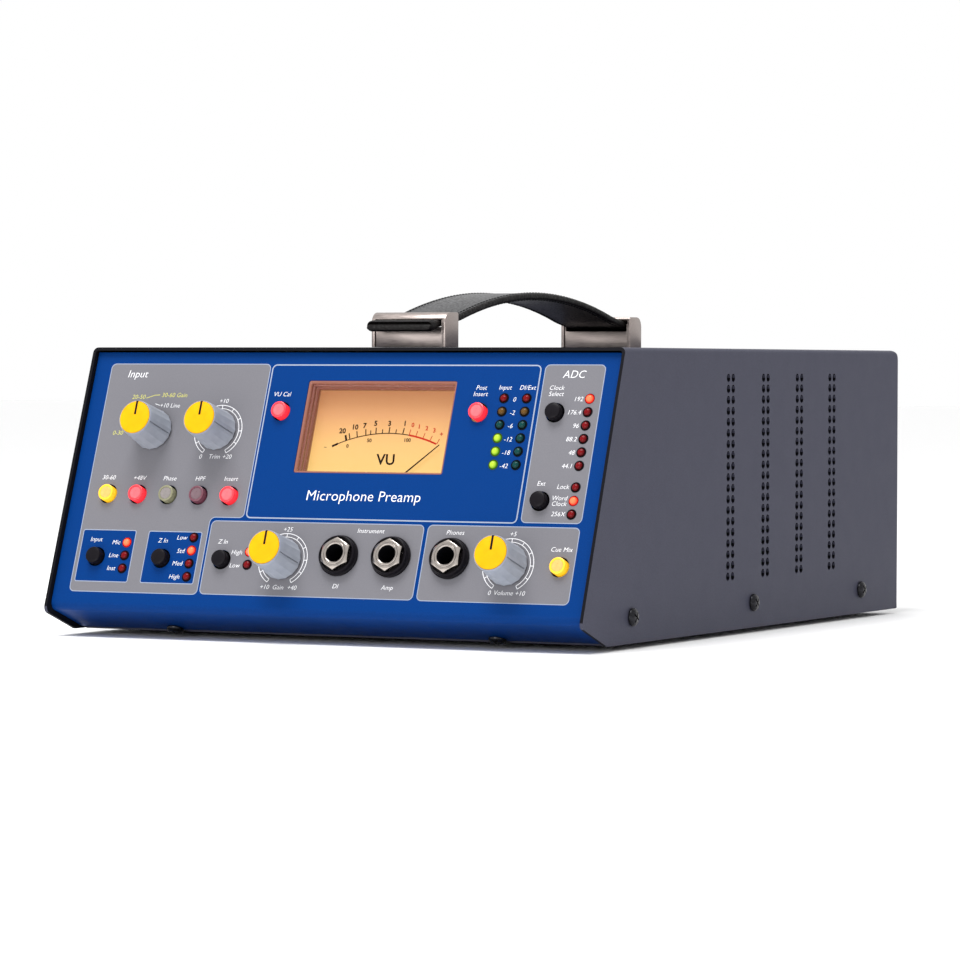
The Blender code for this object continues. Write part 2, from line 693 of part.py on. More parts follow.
def build_needle(panel):
    """A tapered pointer on a hub, which turns about the hub's local Z."""
    hub_radius = 2 * MM
    thickness = 0.4 * MM
    root_half = 0.45 * MM
    tip_half = 0.2 * MM
    outline = [(-root_half, 0), (root_half, 0), (tip_half, NEEDLE_LENGTH), (-tip_half, NEEDLE_LENGTH)]
    blade = prism_mesh([(x, y, -thickness) for x, y in outline], (0, 0, thickness))
    at = (NEEDLE_PIVOT[0], -NEEDLE_PIVOT[1], NEEDLE_OUT)
    turn = (0, 0, -NEEDLE_LEAN)
    needle = link("meter_needle", blade, BLACK_PLASTIC, panel, at, turn)
    hub_back = DIAL_OUT - 2.5 * MM + GAP - NEEDLE_OUT
    hub = rods_mesh([((0, 0), hub_back, 0.3 * MM, hub_radius, 10)])
    combine(needle, "UNION", link_cutter("needle_hub", hub, panel, at, turn))


def build_front_board(panel):
    """The board behind the panel, with a block for each potentiometer and each switch."""
    front = FRONT_BOARD_OUT
    half = INSIDE_HALF_WIDTH - 5 * MM
    plate = boxes_mesh(((-half, -97 * MM, front - BOARD_THICKNESS), (half, -6 * MM, front)))
    board = link("front_circuit_board", plate, BOARD_GREEN, panel)
    blocks = []
    seat = front - BOARD_THICKNESS / 2
    for _, across, down in KNOBS:
        blocks.append((across, down, POT_SIZE, SHAFT_END - GAP))
    for _, across, down in BLACK_BUTTONS + LIT_BUTTONS:
        blocks.append((across, down, SWITCH_SIZE, BUTTON_INNER_END - 2 * MM))
    bm = bmesh.new()
    for across, down, (width, height), top in blocks:
        low = (across - width / 2, -down - height / 2, seat)
        high = (across + width / 2, height / 2 - down, top)
        add_box(bm, low, high)
    combine(board, "UNION", link_cutter("board_components", mesh_from(bm), panel))


def build_main_board():
    """The amplifier board on four pillars, with its screened input transformer and a few tall parts."""
    low = CASE_BOTTOM + SHEET + GAP
    under = low + 8 * MM
    top = under + BOARD_THICKNESS
    left, right = -18 * MM, 100 * MM
    front, back = -70 * MM, 110 * MM
    board = link("main_circuit_board", boxes_mesh(((left, front, under), (right, back, top))), BOARD_GREEN)
    margin = 8 * MM
    corners = [(x, y) for x in (left + margin, right - margin) for y in (front + margin, back - margin)]
    pillars = rods_mesh([(corner, low, top - BOARD_THICKNESS / 2, 3 * MM, 6) for corner in corners])
    combine(board, "UNION", link_cutter("board_pillars", pillars))
    seat = top - BOARD_THICKNESS / 2
    bm = bmesh.new()
    add_box(bm, (60 * MM, 40 * MM, seat), (90 * MM, 70 * MM, seat + 26 * MM))
    for row in range(3):
        add_rod(bm, ((5 + 18 * row) * MM, 70 * MM), seat, seat + 25 * MM, 6 * MM, 8)
    for row in range(4):
        y = (-40 + 16 * row) * MM
        add_box(bm, (30 * MM, y, seat), (50 * MM, y + 8 * MM, seat + 4 * MM))
    combine(board, "UNION", link_cutter("main_board_parts", mesh_from(bm)))


def build_mains_transformer():
    """A ring-wound transformer, bolted to the tray."""
    low = CASE_BOTTOM + SHEET + GAP
    height = 34 * MM
    outer, inner, round_off = 34 * MM, 9 * MM, 6 * MM
    section = round_corners(
        [
            (inner, low + height, round_off / 2),
            (outer, low + height, round_off),
            (outer, low, round_off),
            (inner, low, round_off / 2),
        ],
        steps=2,
    )
    profile = [(radius, z) for radius, z in section]
    profile.append(profile[0])
    turned("mains_transformer", profile, 20, WINDING_TAPE, at=(-62 * MM, 60 * MM, 0))


def rear_frame():
    """An empty on the back face, in the middle of the sockets' row; its local Z points out of the back."""
    frame = bpy.data.objects.new("rear_frame", None)
    PARTS.objects.link(frame)
    frame.location = (0, REAR_FACE_Y, CASE_BOTTOM + REAR_ROW_UP)
    frame.rotation_euler = (math.pi / 2, 0, math.pi)
    return frame


def build_rear_panel(rear):
    """Across is along -X here, because the back is seen from behind."""
    half = INSIDE_HALF_WIDTH
    low = GAP - REAR_ROW_UP
    high = CASE_HEIGHT - REAR_ROW_UP - SHEET - GAP
    plate = link("rear_panel", boxes_mesh(((-half, low, -PLATE), (half, high, 0))), SLATE_PAINT, rear)
    deep = 3 * PLATE
    rods = [((-across, 0), -deep, deep, SOCKET_SHELL_RADIUS + GAP, 16) for _, across in AUDIO_SOCKETS]
    combine(plate, "DIFFERENCE", link_cutter("socket_holes", rods_mesh(rods), rear))
    bm = bmesh.new()
    for across, (width, height, _) in ((INLET_ACROSS, INLET_BODY), (SWITCH_ACROSS, SWITCH_BODY)):
        low = (-across - width / 2 - GAP, -height / 2 - GAP, -deep)
        high = (-across + width / 2 + GAP, height / 2 + GAP, deep)
        add_box(bm, low, high)
    combine(plate, "DIFFERENCE", link_cutter("mains_holes", mesh_from(bm), rear))


def build_audio_sockets(rear):
    width, height, thickness = SOCKET_PLATE
    for name, across in AUDIO_SOCKETS:
        at = (-across, 0, 0)
        flange = boxes_mesh(centred_box(width, height, GAP, GAP + thickness))
        socket = link(name, flange, BLACK_PLASTIC, rear, at)
        shell = rods_mesh([((0, 0), -SOCKET_DEPTH, thickness / 2, SOCKET_SHELL_RADIUS, 16)])
        combine(socket, "UNION", link_cutter(name + "_shell", shell, rear, at))
        mouth = rods_mesh([((0, 0), -SOCKET_MOUTH_DEPTH, 5 * MM, SOCKET_MOUTH_RADIUS, 16)])
        combine(socket, "DIFFERENCE", link_cutter(name + "_mouth", mouth, rear, at))
        reach = 4 * MM
        pins = [
            ((reach * math.cos(turn), reach * math.sin(turn)), -SOCKET_MOUTH_DEPTH - MM, -reach, 1.2 * MM, 6)
            for turn in (0, math.pi, -math.pi / 2)
        ]
        combine(socket, "UNION", link_cutter(name + "_pins", rods_mesh(pins), rear, at))


def build_mains_inlet(rear):
    at = (-INLET_ACROSS, 0, 0)
    width, height, thickness = INLET_PLATE
    plate = boxes_mesh(centred_box(width, height, GAP, GAP + thickness))
    inlet = link("mains_inlet", plate, BLACK_PLASTIC, rear, at)
    width, height, depth = INLET_BODY
    body = boxes_mesh(centred_box(width, height, -depth, thickness / 2))
    combine(inlet, "UNION", link_cutter("inlet_body", body, rear, at))
    width, height, depth = INLET_MOUTH
    mouth = boxes_mesh(centred_box(width, height, -depth, 2 * thickness + depth))
    combine(inlet, "DIFFERENCE", link_cutter("inlet_mouth", mouth, rear, at))
    bm = bmesh.new()
    for across, up in ((-7 * MM, -2 * MM), (0, 2 * MM), (7 * MM, -2 * MM)):
        add_box(bm, (across - MM, up - 2 * MM, -depth - MM), (across + MM, up + 2 * MM, -4 * MM))
    combine(inlet, "UNION", link_cutter("inlet_pins", mesh_from(bm), rear, at))


def build_power_switch(rear):
    """A frame clipped into the back, and a rocker that tips about a pin across its middle."""
    at = (-SWITCH_ACROSS, 0, 0)
    width, height, thickness = SWITCH_PLATE
    plate = boxes_mesh(centred_box(width, height, GAP, GAP + thickness))
    body = link("power_switch_frame", plate, BLACK_PLASTIC, rear, at)
    width, height, depth = SWITCH_BODY
    shell = boxes_mesh(centred_box(width, height, -depth, thickness / 2))
    combine(body, "UNION", link_cutter("switch_shell", shell, rear, at))
    width, height = ROCKER_SIZE
    clearance = 0.6 * MM
    room = boxes_mesh(centred_box(width + 2 * clearance, height + 2 * clearance, -8 * MM, 5 * MM))
    combine(body, "DIFFERENCE", link_cutter("rocker_room", room, rear, at))
    half = width / 2
    outline = [
        (-half, 1.2 * MM),
        (0, 0.4 * MM),
        (half, 1.2 * MM),
        (half - 1 * MM, -2.6 * MM),
        (0, -5 * MM),
        (1 * MM - half, -2.6 * MM),
    ]
    prism = prism_mesh([(x, -height / 2, z) for x, z in outline], (0, height, 0))
    link("power_switch_rocker", prism, BLACK_PLASTIC, rear, (at[0], 0, 0), (0, ROCKER_TILT, 0))


def panel_frame():
    """An empty at the panel's top line, which carries everything on the slope; its local Z points out."""
    frame = bpy.data.objects.new("panel_frame", None)
    PARTS.objects.link(frame)
    frame.location = PANEL_ORIGIN
    frame.rotation_euler = (math.pi / 2 - SLOPE, 0, 0)
    return frame


def main():
    screw_holes = build_cover()
    build_tray(screw_holes)
    build_feet()
    build_strap()
    build_brackets()

    panel = panel_frame()
    build_front_panel(panel)
    build_screws(panel)
    build_knobs(panel)
    build_buttons(panel)
    build_lamps(panel)
    build_front_jacks(panel)
    build_meter(panel)
    build_front_board(panel)

    build_main_board()
    build_mains_transformer()

    rear = rear_frame()
    build_rear_panel(rear)
    build_audio_sockets(rear)
    build_mains_inlet(rear)
    build_power_switch(rear)


main()
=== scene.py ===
"""Microphone preamp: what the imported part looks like.

Shapes are modelled in millimetres and become metres when they are finished. A place on the control panel
is (across, down, out): across along +X from its middle, down along the slope from its top line, and out of
its face. A piece there has local X across, Y up the slope and Z out.
"""

import json
import math

import bmesh
import bpy
from mathutils import Matrix, Vector
from mathutils.bvhtree import BVHTree


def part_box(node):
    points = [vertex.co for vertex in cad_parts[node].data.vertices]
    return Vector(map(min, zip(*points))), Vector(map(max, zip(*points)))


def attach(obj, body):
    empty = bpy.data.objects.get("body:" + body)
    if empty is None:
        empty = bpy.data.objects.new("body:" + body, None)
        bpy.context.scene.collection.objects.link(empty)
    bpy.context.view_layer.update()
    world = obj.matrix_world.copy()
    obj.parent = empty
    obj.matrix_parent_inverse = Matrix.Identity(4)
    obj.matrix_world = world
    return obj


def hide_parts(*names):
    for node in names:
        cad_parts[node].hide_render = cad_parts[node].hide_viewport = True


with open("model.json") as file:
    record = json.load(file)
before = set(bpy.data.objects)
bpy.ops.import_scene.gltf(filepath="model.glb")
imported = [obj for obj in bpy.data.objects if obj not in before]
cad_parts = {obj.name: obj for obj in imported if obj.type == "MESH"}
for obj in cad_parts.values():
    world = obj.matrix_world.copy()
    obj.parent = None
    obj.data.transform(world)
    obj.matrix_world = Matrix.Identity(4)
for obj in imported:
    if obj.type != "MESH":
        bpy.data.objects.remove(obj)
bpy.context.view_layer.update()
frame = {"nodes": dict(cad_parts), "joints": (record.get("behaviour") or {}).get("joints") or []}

MM = 0.001
NODES = frame["nodes"]
JOINTS = {joint["name"]: joint for joint in frame["joints"]}

# Directions of the control panel
ACROSS = Vector((1, 0, 0))
OUT = Vector(JOINTS["trim_turn"]["axis"]).normalized()
DOWN = ACROSS.cross(OUT)
PANEL_TURN = Matrix((ACROSS, -DOWN, OUT)).transposed().to_4x4()


def points_of(node):
    return [vertex.co for vertex in NODES[node].data.vertices]


def level(node, direction):
    """How far a node reaches along a direction, in metres."""
    return max(point.dot(direction) for point in points_of(node))


def top_front_corner():
    points = points_of("outer_cover")
    top = max(point.z for point in points)
    return Vector((0, min(point.y for point in points if point.z > top - 0.01 * MM), top))


RECESS = (level("outer_cover", OUT) - level("front_panel", OUT)) / MM
ORIGIN = top_front_corner() - RECESS * MM * OUT


def extent(node):
    """A node's (lowest, highest) across, down and out on the panel, in millimetres."""
    offsets = [(point - ORIGIN) / MM for point in points_of(node)]
    spans = []
    for direction in (ACROSS, DOWN, OUT):
        reach = [offset.dot(direction) for offset in offsets]
        spans.append((min(reach), max(reach)))
    return spans


def middle(span):
    return (span[0] + span[1]) / 2


def centre(node):
    across, down, _ = extent(node)
    return middle(across), middle(down)


def button_centre(node):
    """A button's cap stands a little left of its switch's middle, and above it."""
    across, down = centre(node)
    return across - 0.4, down - 0.3


def world_box(node):
    """A node's (lowest, highest) corner, in millimetres."""
    low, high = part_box(node)
    return low / MM, high / MM


def on_panel(across, down, out=0):
    place = ORIGIN + (across * ACROSS + down * DOWN + out * OUT) * MM
    return Matrix.Translation(place) @ PANEL_TURN


PANEL = on_panel(0, 0)


def at(x, y, z, turn=None):
    place = Matrix.Translation(Vector((x, y, z)) * MM)
    return place @ turn if turn else place


# Sizes of the case, in millimetres
COVER_LOW, COVER_HIGH = world_box("outer_cover")
CASE_BOTTOM = COVER_LOW.z
CASE_TOP = COVER_HIGH.z
HALF_WIDTH = COVER_HIGH.x
BACK_Y = COVER_HIGH.y
FRONT_EDGE_Y = top_front_corner().y / MM
SLOPE_LENGTH = extent("outer_cover")[1][1]
SHEET = 1.2
PLATE = 1.5
GAP = 0.3

# Controls
KNOBS = sorted(node[: -len("_knob")] for node in NODES if node.endswith("_knob"))
LIT_BUTTONS = {
    "gain_range_button": "amber",
    "phantom_power_button": "red",
    "phase_button": "grey",
    "high_pass_button": "plum",
    "insert_button": "red",
    "meter_calibration_button": "red",
    "post_insert_button": "red",
    "cue_mix_button": "amber",
}
BLACK_BUTTONS = sorted(node for node in NODES if node.endswith("_button") and node not in LIT_BUTTONS)
JACKS = ("instrument_jack", "amplifier_jack", "phones_jack")
BUTTON_RADIUS = 3.1
LAMP_PITCH = 5
LAMP_MARGIN = 2.4
LAMP_RADIUS = 1.66

# Lamps: for each bank, its columns as (across from its middle, first row from its top, colours down it)
LAMP_COLUMNS = {
    "clock_lamps": [(0, 0, ["lit_red"] + ["red"] * 5), (0, 33, ["red", "lit_red", "red"])],
    "level_lamps": [
        (-4.5, 0, ["red", "yellow", "green", "lit_green", "lit_green", "lit_green"]),
        (4.5, 0, ["red", "yellow", "green", "green", "green", "green"]),
    ],
    "input_lamps": [(0, 0, ["lit_red", "red", "red"])],
    "impedance_lamps": [(0, 0, ["red", "lit_red", "red", "red"])],
    "instrument_lamps": [(0, 0, ["lit_red", "red"])],
}

# Printed layout. Corners are (across, down, radius).
INPUT_AREA = [
    (-101.85, 5.75, 2),
    (-33.3, 5.75, 2),
    (-33.3, 65.4, 2),
    (-47.2, 65.4, 2),
    (-47.2, 95, 2),
    (-101.85, 95, 2),
]
CONVERTER_AREA = [(78.7, 5.75, 2), (102.6, 5.75, 2), (102.6, 65.05, 2), (78.7, 65.05, 2)]
INSTRUMENT_AREA = [(-46.4, 66.5, 2), (41.2, 66.5, 2), (41.2, 94.7, 2), (-46.4, 94.7, 2)]
PHONES_AREA = [(42.6, 66.4, 2), (102.5, 66.4, 2), (102.5, 94.8, 2), (42.6, 94.8, 2)]
METER_AREA = [(-32.7, 5.9, 2), (77.35, 5.9, 2), (77.35, 65.4, 2), (-32.7, 65.4, 2)]
SELECTOR_BOXES = [
    [(-100.1, 71.2, 0.6), (-77.8, 71.2, 0.6), (-77.8, 90.8, 0.6), (-100.1, 90.8, 0.6)],
    [(-71.95, 71.3, 0.6), (-49.8, 71.3, 0.6), (-49.8, 90.8, 0.6), (-71.95, 90.8, 0.6)],
]
AREA_LINE = 0.3
METER_AREA_LINE = 0.5

# Words beside each control, as (words, across and down from its middle)
SMALL_CAP = 1.65
YELLOW_WORDS = {
    "input_gain_knob": [("20-50", -9.4, -13.1), ("30-60 Gain", 5.9, -13.9), ("0-30", -15.6, 1.1)],
}
WHITE_WORDS = {
    "input_gain_knob": [("+10 Line", 4.7, -9.8)],
    "trim_knob": [("+10", 0.1, -11.6), ("0", -5.6, 10.1), ("Trim", 0.3, 10), ("+20", 5.6, 10)],
    "gain_range_button": [("30-60", -1.5, -6.7)],
    "phantom_power_button": [("+48V", -1, -6.7)],
    "phase_button": [("Phase", -1, -6.7)],
    "high_pass_button": [("HPF", -1.1, -6.8)],
    "insert_button": [("Insert", -1.1, -6.9)],
    "meter_calibration_button": [("VU Cal", -1.2, -6.9)],
    "input_select_button": [("Input", -1.7, -7), ("Mic", 7.1, -6), ("Line", 6.9, -1), ("Inst", 6.9, 4)],
    "impedance_button": [
        ("Z In", -1.1, -7.2),
        ("Low", 6.7, -8.5),
        ("Std", 7.2, -3.4),
        ("Med", 6.7, 1.4),
        ("High", 6.4, 6.5),
    ],
    "instrument_impedance_button": [("Z In", -1.2, -7.2), ("High", 5.3, -3.3), ("Low", 5.3, 1.7)],
    "instrument_gain_knob": [
        ("+25", -0.1, -11.5),
        ("+10", -5.7, 10.4),
        ("Gain", -0.1, 10.4),
        ("+40", 5.6, 10.4),
    ],
    "instrument_jack": [("DI", 0.3, 11.2), ("Instrument", 10.9, -9.8)],
    "amplifier_jack": [("Amp", 0.1, 11.2)],
    "phones_jack": [("Phones", 0.3, -9.9)],
    "phones_volume_knob": [("+5", 0, -11.6), ("0", -5.7, 10.2), ("Volume", -0.2, 10.1), ("+10", 6.3, 10.1)],
    "cue_mix_button": [("Cue Mix", -0.7, -6.8)],
    "post_insert_button": [("Post", -0.8, -9.7), ("Insert", -0.8, -7.3)],
    "clock_select_button": [("Clock", -1.3, -9.7), ("Select", -1.2, -7.4)],
    "external_clock_button": [("Ext", -1.1, -6.9)],
}
LEVEL_HEADINGS = [("Input", -4.7), ("DI/Ext", 4.2)]
LEVEL_WORDS = ["0", "-2", "-6", "-12", "-18", "-42"]
CLOCK_WORDS = ["192", "176.4", "96", "88.2", "48", "44.1"]
LOCK_WORDS = [("Lock", 0), ("Word", 4.2), ("Clock", 6.3), ("256X", 10.1)]
HEADINGS = [("Input", -89.9, 9.8, 2.8), ("ADC", 90.5, 9.4, 2.8)]
MAKERS_LINE = ("Microphone Preamp", 14.25, 56.2, 3.8)

# Dial of the meter, as places on the panel
DIAL_CENTRE = (16, 81.5)
DIAL_RADIUS = 52
DIAL_START = -6.7
DIAL_ZERO = 24.2
DIAL_END = 35.8
DIAL_BLACK_TICKS = [0.2, 3.1, 6.5, 10.5, 15.8, 21.5]
DIAL_MINOR_TICKS = [8.4, 13.1, 18.6]
DIAL_RED_TICKS = [24.2, 27, 30, 33, 36]
DIAL_BLACK_WORDS = [
    ("20", -3.4, 28.7),
    ("10", 1.5, 27.2),
    ("7", 5.4, 26.6),
    ("5", 9.8, 25.7),
    ("3", 15.5, 25.7),
    ("1", 21.8, 25.6),
]
DIAL_RED_WORDS = [
    ("0", 25.1, 26.2),
    ("1", 27.8, 26.8),
    ("2", 31, 27.4),
    ("3", 34.2, 28.2),
    ("+", 37.3, 29.6),
]
DIAL_SMALL_WORDS = [("0", -0.3, 34.5), ("50", 8.3, 32.3), ("100", 23.8, 32)]

DIAL_DOWN = extent("meter_window")[1]
DIAL_FACE = extent("meter_dial")[2][1]

# Thickness of print: (lower, upper) height above the surface it is on
AREA_LAYER = (0.01, 0.03)
WORDS_LAYER = (0.03, 0.05)


# ---------------------------------------------------------------- finishes


def scaled(colour, share):
    return [min(1, part * share) for part in colour]


class Finish:
    """A material with procedural detail: a Principled shader, fed from textures in object coordinates."""

    def __init__(self, name, colour, roughness, metallic=0.0, **sockets):
        self.material = bpy.data.materials.new(name)
        self.material.use_nodes = True
        self.tree = self.material.node_tree
        self.shader = self.tree.nodes["Principled BSDF"]
        self.colour = colour
        self.roughness = roughness
        self.place = self.node("ShaderNodeTexCoord").outputs["Object"]
        self.normal = None
        self.put("Base Color", (*colour, 1))
        self.put("Roughness", roughness)
        self.put("Metallic", metallic)
        for socket, value in sockets.items():
            self.put(socket.replace("_", " "), value)

    def put(self, socket, value):
        self.shader.inputs[socket].default_value = value

    def node(self, kind, links=None, values=None, **settings):
        made = self.tree.nodes.new(kind)
        for name, value in settings.items():
            setattr(made, name, value)
        for socket, value in (values or {}).items():
            made.inputs[socket].default_value = value
        for socket, source in (links or {}).items():
            self.tree.links.new(source, made.inputs[socket])
        return made

    def stretched(self, scale):
        """Object coordinates, scaled along each axis."""
        return self.node("ShaderNodeMapping", {"Vector": self.place}, {"Scale": scale}).outputs["Vector"]

    def noise(self, size, detail=2.0, place=None):
        """Noise whose blotches are about this many millimetres wide."""
        values = {"Scale": 1 / (size * MM), "Detail": detail}
        made = self.node("ShaderNodeTexNoise", {"Vector": place or self.place}, values)
        return made.outputs["Fac"]

    def cells(self, size, feature="F1", place=None):
        values = {"Scale": 1 / (size * MM)}
        made = self.node("ShaderNodeTexVoronoi", {"Vector": place or self.place}, values, feature=feature)
        return made.outputs["Distance"]

    def along(self, direction, start, end):
        """0 to 1 from one distance to another along a direction, in millimetres."""
        dot = self.node(
            "ShaderNodeVectorMath", {0: self.place}, {1: direction}, operation="DOT_PRODUCT"
        ).outputs["Value"]
        values = {"From Min": start * MM, "From Max": end * MM}
        return self.node("ShaderNodeMapRange", {"Value": dot}, values).outputs["Result"]

    def spread(self, source, low, high, start=0.3, end=0.7):
        values = {"From Min": start, "From Max": end, "To Min": low, "To Max": high}
        return self.node("ShaderNodeMapRange", {"Value": source}, values).outputs["Result"]

    def ramp(self, source, stops):
        """Colours along a value, as (value, colour)."""
        made = self.node("ShaderNodeValToRGB", {"Fac": source})
        elements = made.color_ramp.elements
        while len(elements) < len(stops):
            elements.new(1)
        for element, (value, colour) in zip(elements, stops):
            element.position = value
            element.color = (*colour, 1)
        return made.outputs["Color"]

    def tint(self, source, low, high, start=0.35, end=0.65):
        """The colour goes from low times to high times its own with a texture."""
        shades = [(stop, scaled(self.colour, share)) for stop, share in ((start, low), (end, high))]
        self.tree.links.new(self.ramp(source, shades), self.shader.inputs["Base Color"])
        return self

    def rough(self, source, low, high):
        self.tree.links.new(self.spread(source, low, high), self.shader.inputs["Roughness"])
        return self

    def bump(self, source, depth, strength=1.0):
        """Relief of about this many millimetres."""
        values = {"Distance": depth * MM, "Strength": strength}
        links = {"Height": source}
        if self.normal:
            links["Normal"] = self.normal
        self.normal = self.node("ShaderNodeBump", links, values).outputs["Normal"]
        self.tree.links.new(self.normal, self.shader.inputs["Normal"])
        return self

    def glow(self, strength, source):
        self.put("Emission Color", (*self.colour, 1))
        self.put("Emission Strength", strength)
        self.tree.links.new(source, self.shader.inputs["Emission Color"])
        return self


def paint(name, colour, roughness, gloss=0.08, grain=0.35, depth=0.03):
    """Fine powder paint with a faint speckle."""
    finish = Finish(name, colour, roughness, Specular_IOR_Level=gloss)
    grains = finish.noise(grain, 3)
    finish.tint(grains, 0.9, 1.12)
    finish.rough(finish.noise(9, 2), roughness - 0.02, roughness + 0.03)
    return finish.bump(grains, depth, 0.6).material


def ink(name, colour, roughness=0.55):
    """Screen print."""
    finish = Finish(name, colour, roughness, Specular_IOR_Level=0.08)
    finish.tint(finish.noise(0.5, 3), 0.97, 1.03)
    finish.rough(finish.noise(4), roughness - 0.05, roughness + 0.05)
    return finish.bump(finish.noise(0.3), 0.01, 0.4).material


def moulded(name, colour, roughness, gloss=0.12, grain=0.6, depth=0.01):
    """Moulded plastic with slight mottling and soft wear."""
    finish = Finish(name, colour, roughness, Specular_IOR_Level=gloss)
    finish.tint(finish.noise(grain * 6, 4), 0.95, 1.05)
    finish.rough(finish.noise(3, 3), roughness - 0.06, roughness + 0.08)
    return finish.bump(finish.noise(grain, 2), depth, 0.5).material


def plated(name, colour, roughness, stretch=(1, 1, 1), grain=0.5, depth=0.004):
    """Bare or plated metal, with its grain drawn out along an axis."""
    finish = Finish(name, colour, roughness, 1.0)
    lines = finish.noise(grain, 4, finish.stretched(stretch))
    finish.tint(lines, 0.86, 1.1)
    finish.rough(lines, roughness - 0.08, roughness + 0.1)
    return finish.bump(lines, depth, 0.6).material


def lit_plastic(name, face, glow):
    """A translucent button top with a lamp under it."""
    finish = Finish(name, face, 0.32, Coat_Weight=0.15)
    finish.rough(finish.noise(1.2, 3), 0.25, 0.4)
    mottle = finish.noise(1.6, 3)
    finish.tint(mottle, 0.92, 1.06)
    finish.glow(glow, finish.ramp(mottle, [(0.35, scaled(face, 0.88)), (0.65, scaled(face, 1.08))]))
    return finish.bump(finish.noise(0.8), 0.01, 0.5).material


def lens(name, colour, glow=0.0, glow_shades=()):
    """A lamp's dome, its colour painted darker at the rim and lighter at the top as painted shade and painted
    highlight. A lit one glows in two shades, at its rim and at its top.
    """
    finish = Finish(name, colour, 0.12, Specular_IOR_Level=0.12)
    finish.rough(finish.noise(0.7, 2), 0.08, 0.18)
    height = finish.along((0, 0, 1), 0.2, 1)
    # Painted shade at the rim and a painted highlight at the top, in the base colour.
    finish.tint(height, 0.3, 1.9, 0, 1)
    if glow:
        finish.glow(glow, finish.ramp(height, list(zip((0, 1), glow_shades))))
    return finish.bump(finish.noise(0.4), 0.004, 0.5).material


def leather(name, colour, roughness, gloss, pore, depth):
    finish = Finish(name, colour, roughness, Specular_IOR_Level=gloss)
    pores = finish.cells(pore, "SMOOTH_F1")
    finish.tint(finish.noise(5, 4), 0.75, 1.3)
    finish.rough(pores, roughness - 0.06, roughness + 0.12)
    finish.bump(finish.noise(pore * 5, 4), depth * 1.5, 0.6)
    return finish.bump(pores, depth, 0.8).material


def meter_wall_painted_bands():
    """Amber plastic in bright and dark bands that follow its steps and glow: painted reflections and painted
    shade, with a glow standing in for light from inside.
    """
    finish = Finish("meter_case_amber_painted_bands", (0.09, 0.028, 0.02), 0.2, Coat_Weight=0.15)
    depth = finish.along((0, 0, 1), -8, 0)
    # Bright and dark bands by depth: painted reflections and painted shade on the steps.
    bands = finish.ramp(
        depth,
        [
            (0, (0.5, 0.26, 0.12)),
            (0.16, (0.1, 0.025, 0.02)),
            (0.34, (0.36, 0.15, 0.12)),
            (0.5, (0.045, 0.012, 0.012)),
            (0.66, (0.32, 0.12, 0.1)),
            (0.8, (0.08, 0.015, 0.01)),
            (0.93, (0.4, 0.17, 0.12)),
        ],
    )
    finish.glow(0.7, bands)
    finish.rough(finish.noise(2.5, 3), 0.14, 0.3)
    return finish.bump(finish.noise(1.5, 2), 0.01, 0.5).material


def dial_finish():
    """Card lit from behind, brightest at its foot."""
    finish = Finish("dial_card", (0.25, 0.14, 0.06), 0.6)
    top, foot = DIAL_DOWN
    start = (ORIGIN.dot(DOWN)) / MM
    height = finish.along(tuple(DOWN), start + top, start + foot)
    shades = finish.ramp(
        height,
        [
            (0, (0.42, 0.155, 0.07)),
            (0.3, (0.66, 0.31, 0.13)),
            (0.6, (0.9, 0.56, 0.18)),
            (0.85, (0.95, 0.66, 0.2)),
            (1, (1, 0.78, 0.27)),
        ],
    )
    finish.glow(0.75, shades)
    finish.rough(finish.noise(2, 3), 0.5, 0.7)
    return finish.bump(finish.noise(0.4, 2), 0.01, 0.4).material


def pane_finish():
    """Clear plastic: it lets light straight through, and only its gloss is seen."""
    finish = Finish("clear_plastic", (1, 1, 1), 0.05)
    finish.rough(finish.noise(6, 2), 0.03, 0.09)
    finish.bump(finish.noise(25, 1), 0.02, 0.2)
    clear = finish.node("ShaderNodeBsdfTransparent", values={"Color": (0.98, 0.96, 0.94, 1)})
    gloss = finish.node("ShaderNodeBsdfGlossy", {"Normal": finish.normal}, {"Roughness": 0.05})
    share = finish.node("ShaderNodeFresnel", {"Normal": finish.normal}, {"IOR": 1.12}).outputs["Fac"]
    mixed = finish.node("ShaderNodeMixShader", {0: share, 1: clear.outputs[0], 2: gloss.outputs[0]})
    finish.tree.links.new(mixed.outputs[0], finish.tree.nodes["Material Output"].inputs["Surface"])
    finish.tree.nodes.remove(finish.shader)
    return finish.material


def board_finish():
    finish = Finish("circuit_board_green", (0.012, 0.12, 0.045), 0.35)
    tracks = finish.cells(4, "DISTANCE_TO_EDGE", finish.stretched((1, 0.3, 1)))
    finish.tint(tracks, 1.5, 0.8, 0.02, 0.12)
    finish.rough(finish.noise(3), 0.28, 0.45)
    return finish.bump(tracks, 0.03, 0.4).material


def winding_finish():
    finish = Finish("winding_tape_yellow", (0.65, 0.42, 0.1), 0.4)
    turns = finish.noise(2.5, 2, finish.stretched((1, 1, 0.15)))
    finish.tint(turns, 0.7, 1.15)
    finish.rough(turns, 0.3, 0.55)
    return finish.bump(turns, 0.3, 0.7).material


# ---------------------------------------------------------------- shapes


def finished(mesh, angle=32):
    """From millimetres to metres, smooth but for its sharp edges."""
    mesh.transform(Matrix.Scale(MM, 4))
    mesh.shade_smooth()
    mesh.set_sharp_from_angle(angle=math.radians(angle))
    return mesh


def mesh_from(bm):
    mesh = bpy.data.meshes.new("shape")
    bmesh.ops.recalc_face_normals(bm, faces=bm.faces)
    bm.to_mesh(mesh)
    bm.free()
    return mesh


def joined(parts):
    """One mesh of several, each with its place."""
    bm = bmesh.new()
    for mesh, place in parts:
        mesh.transform(place)
        bm.from_mesh(mesh)
    mesh = bpy.data.meshes.new("joined")
    bm.to_mesh(mesh)
    bm.free()
    return mesh


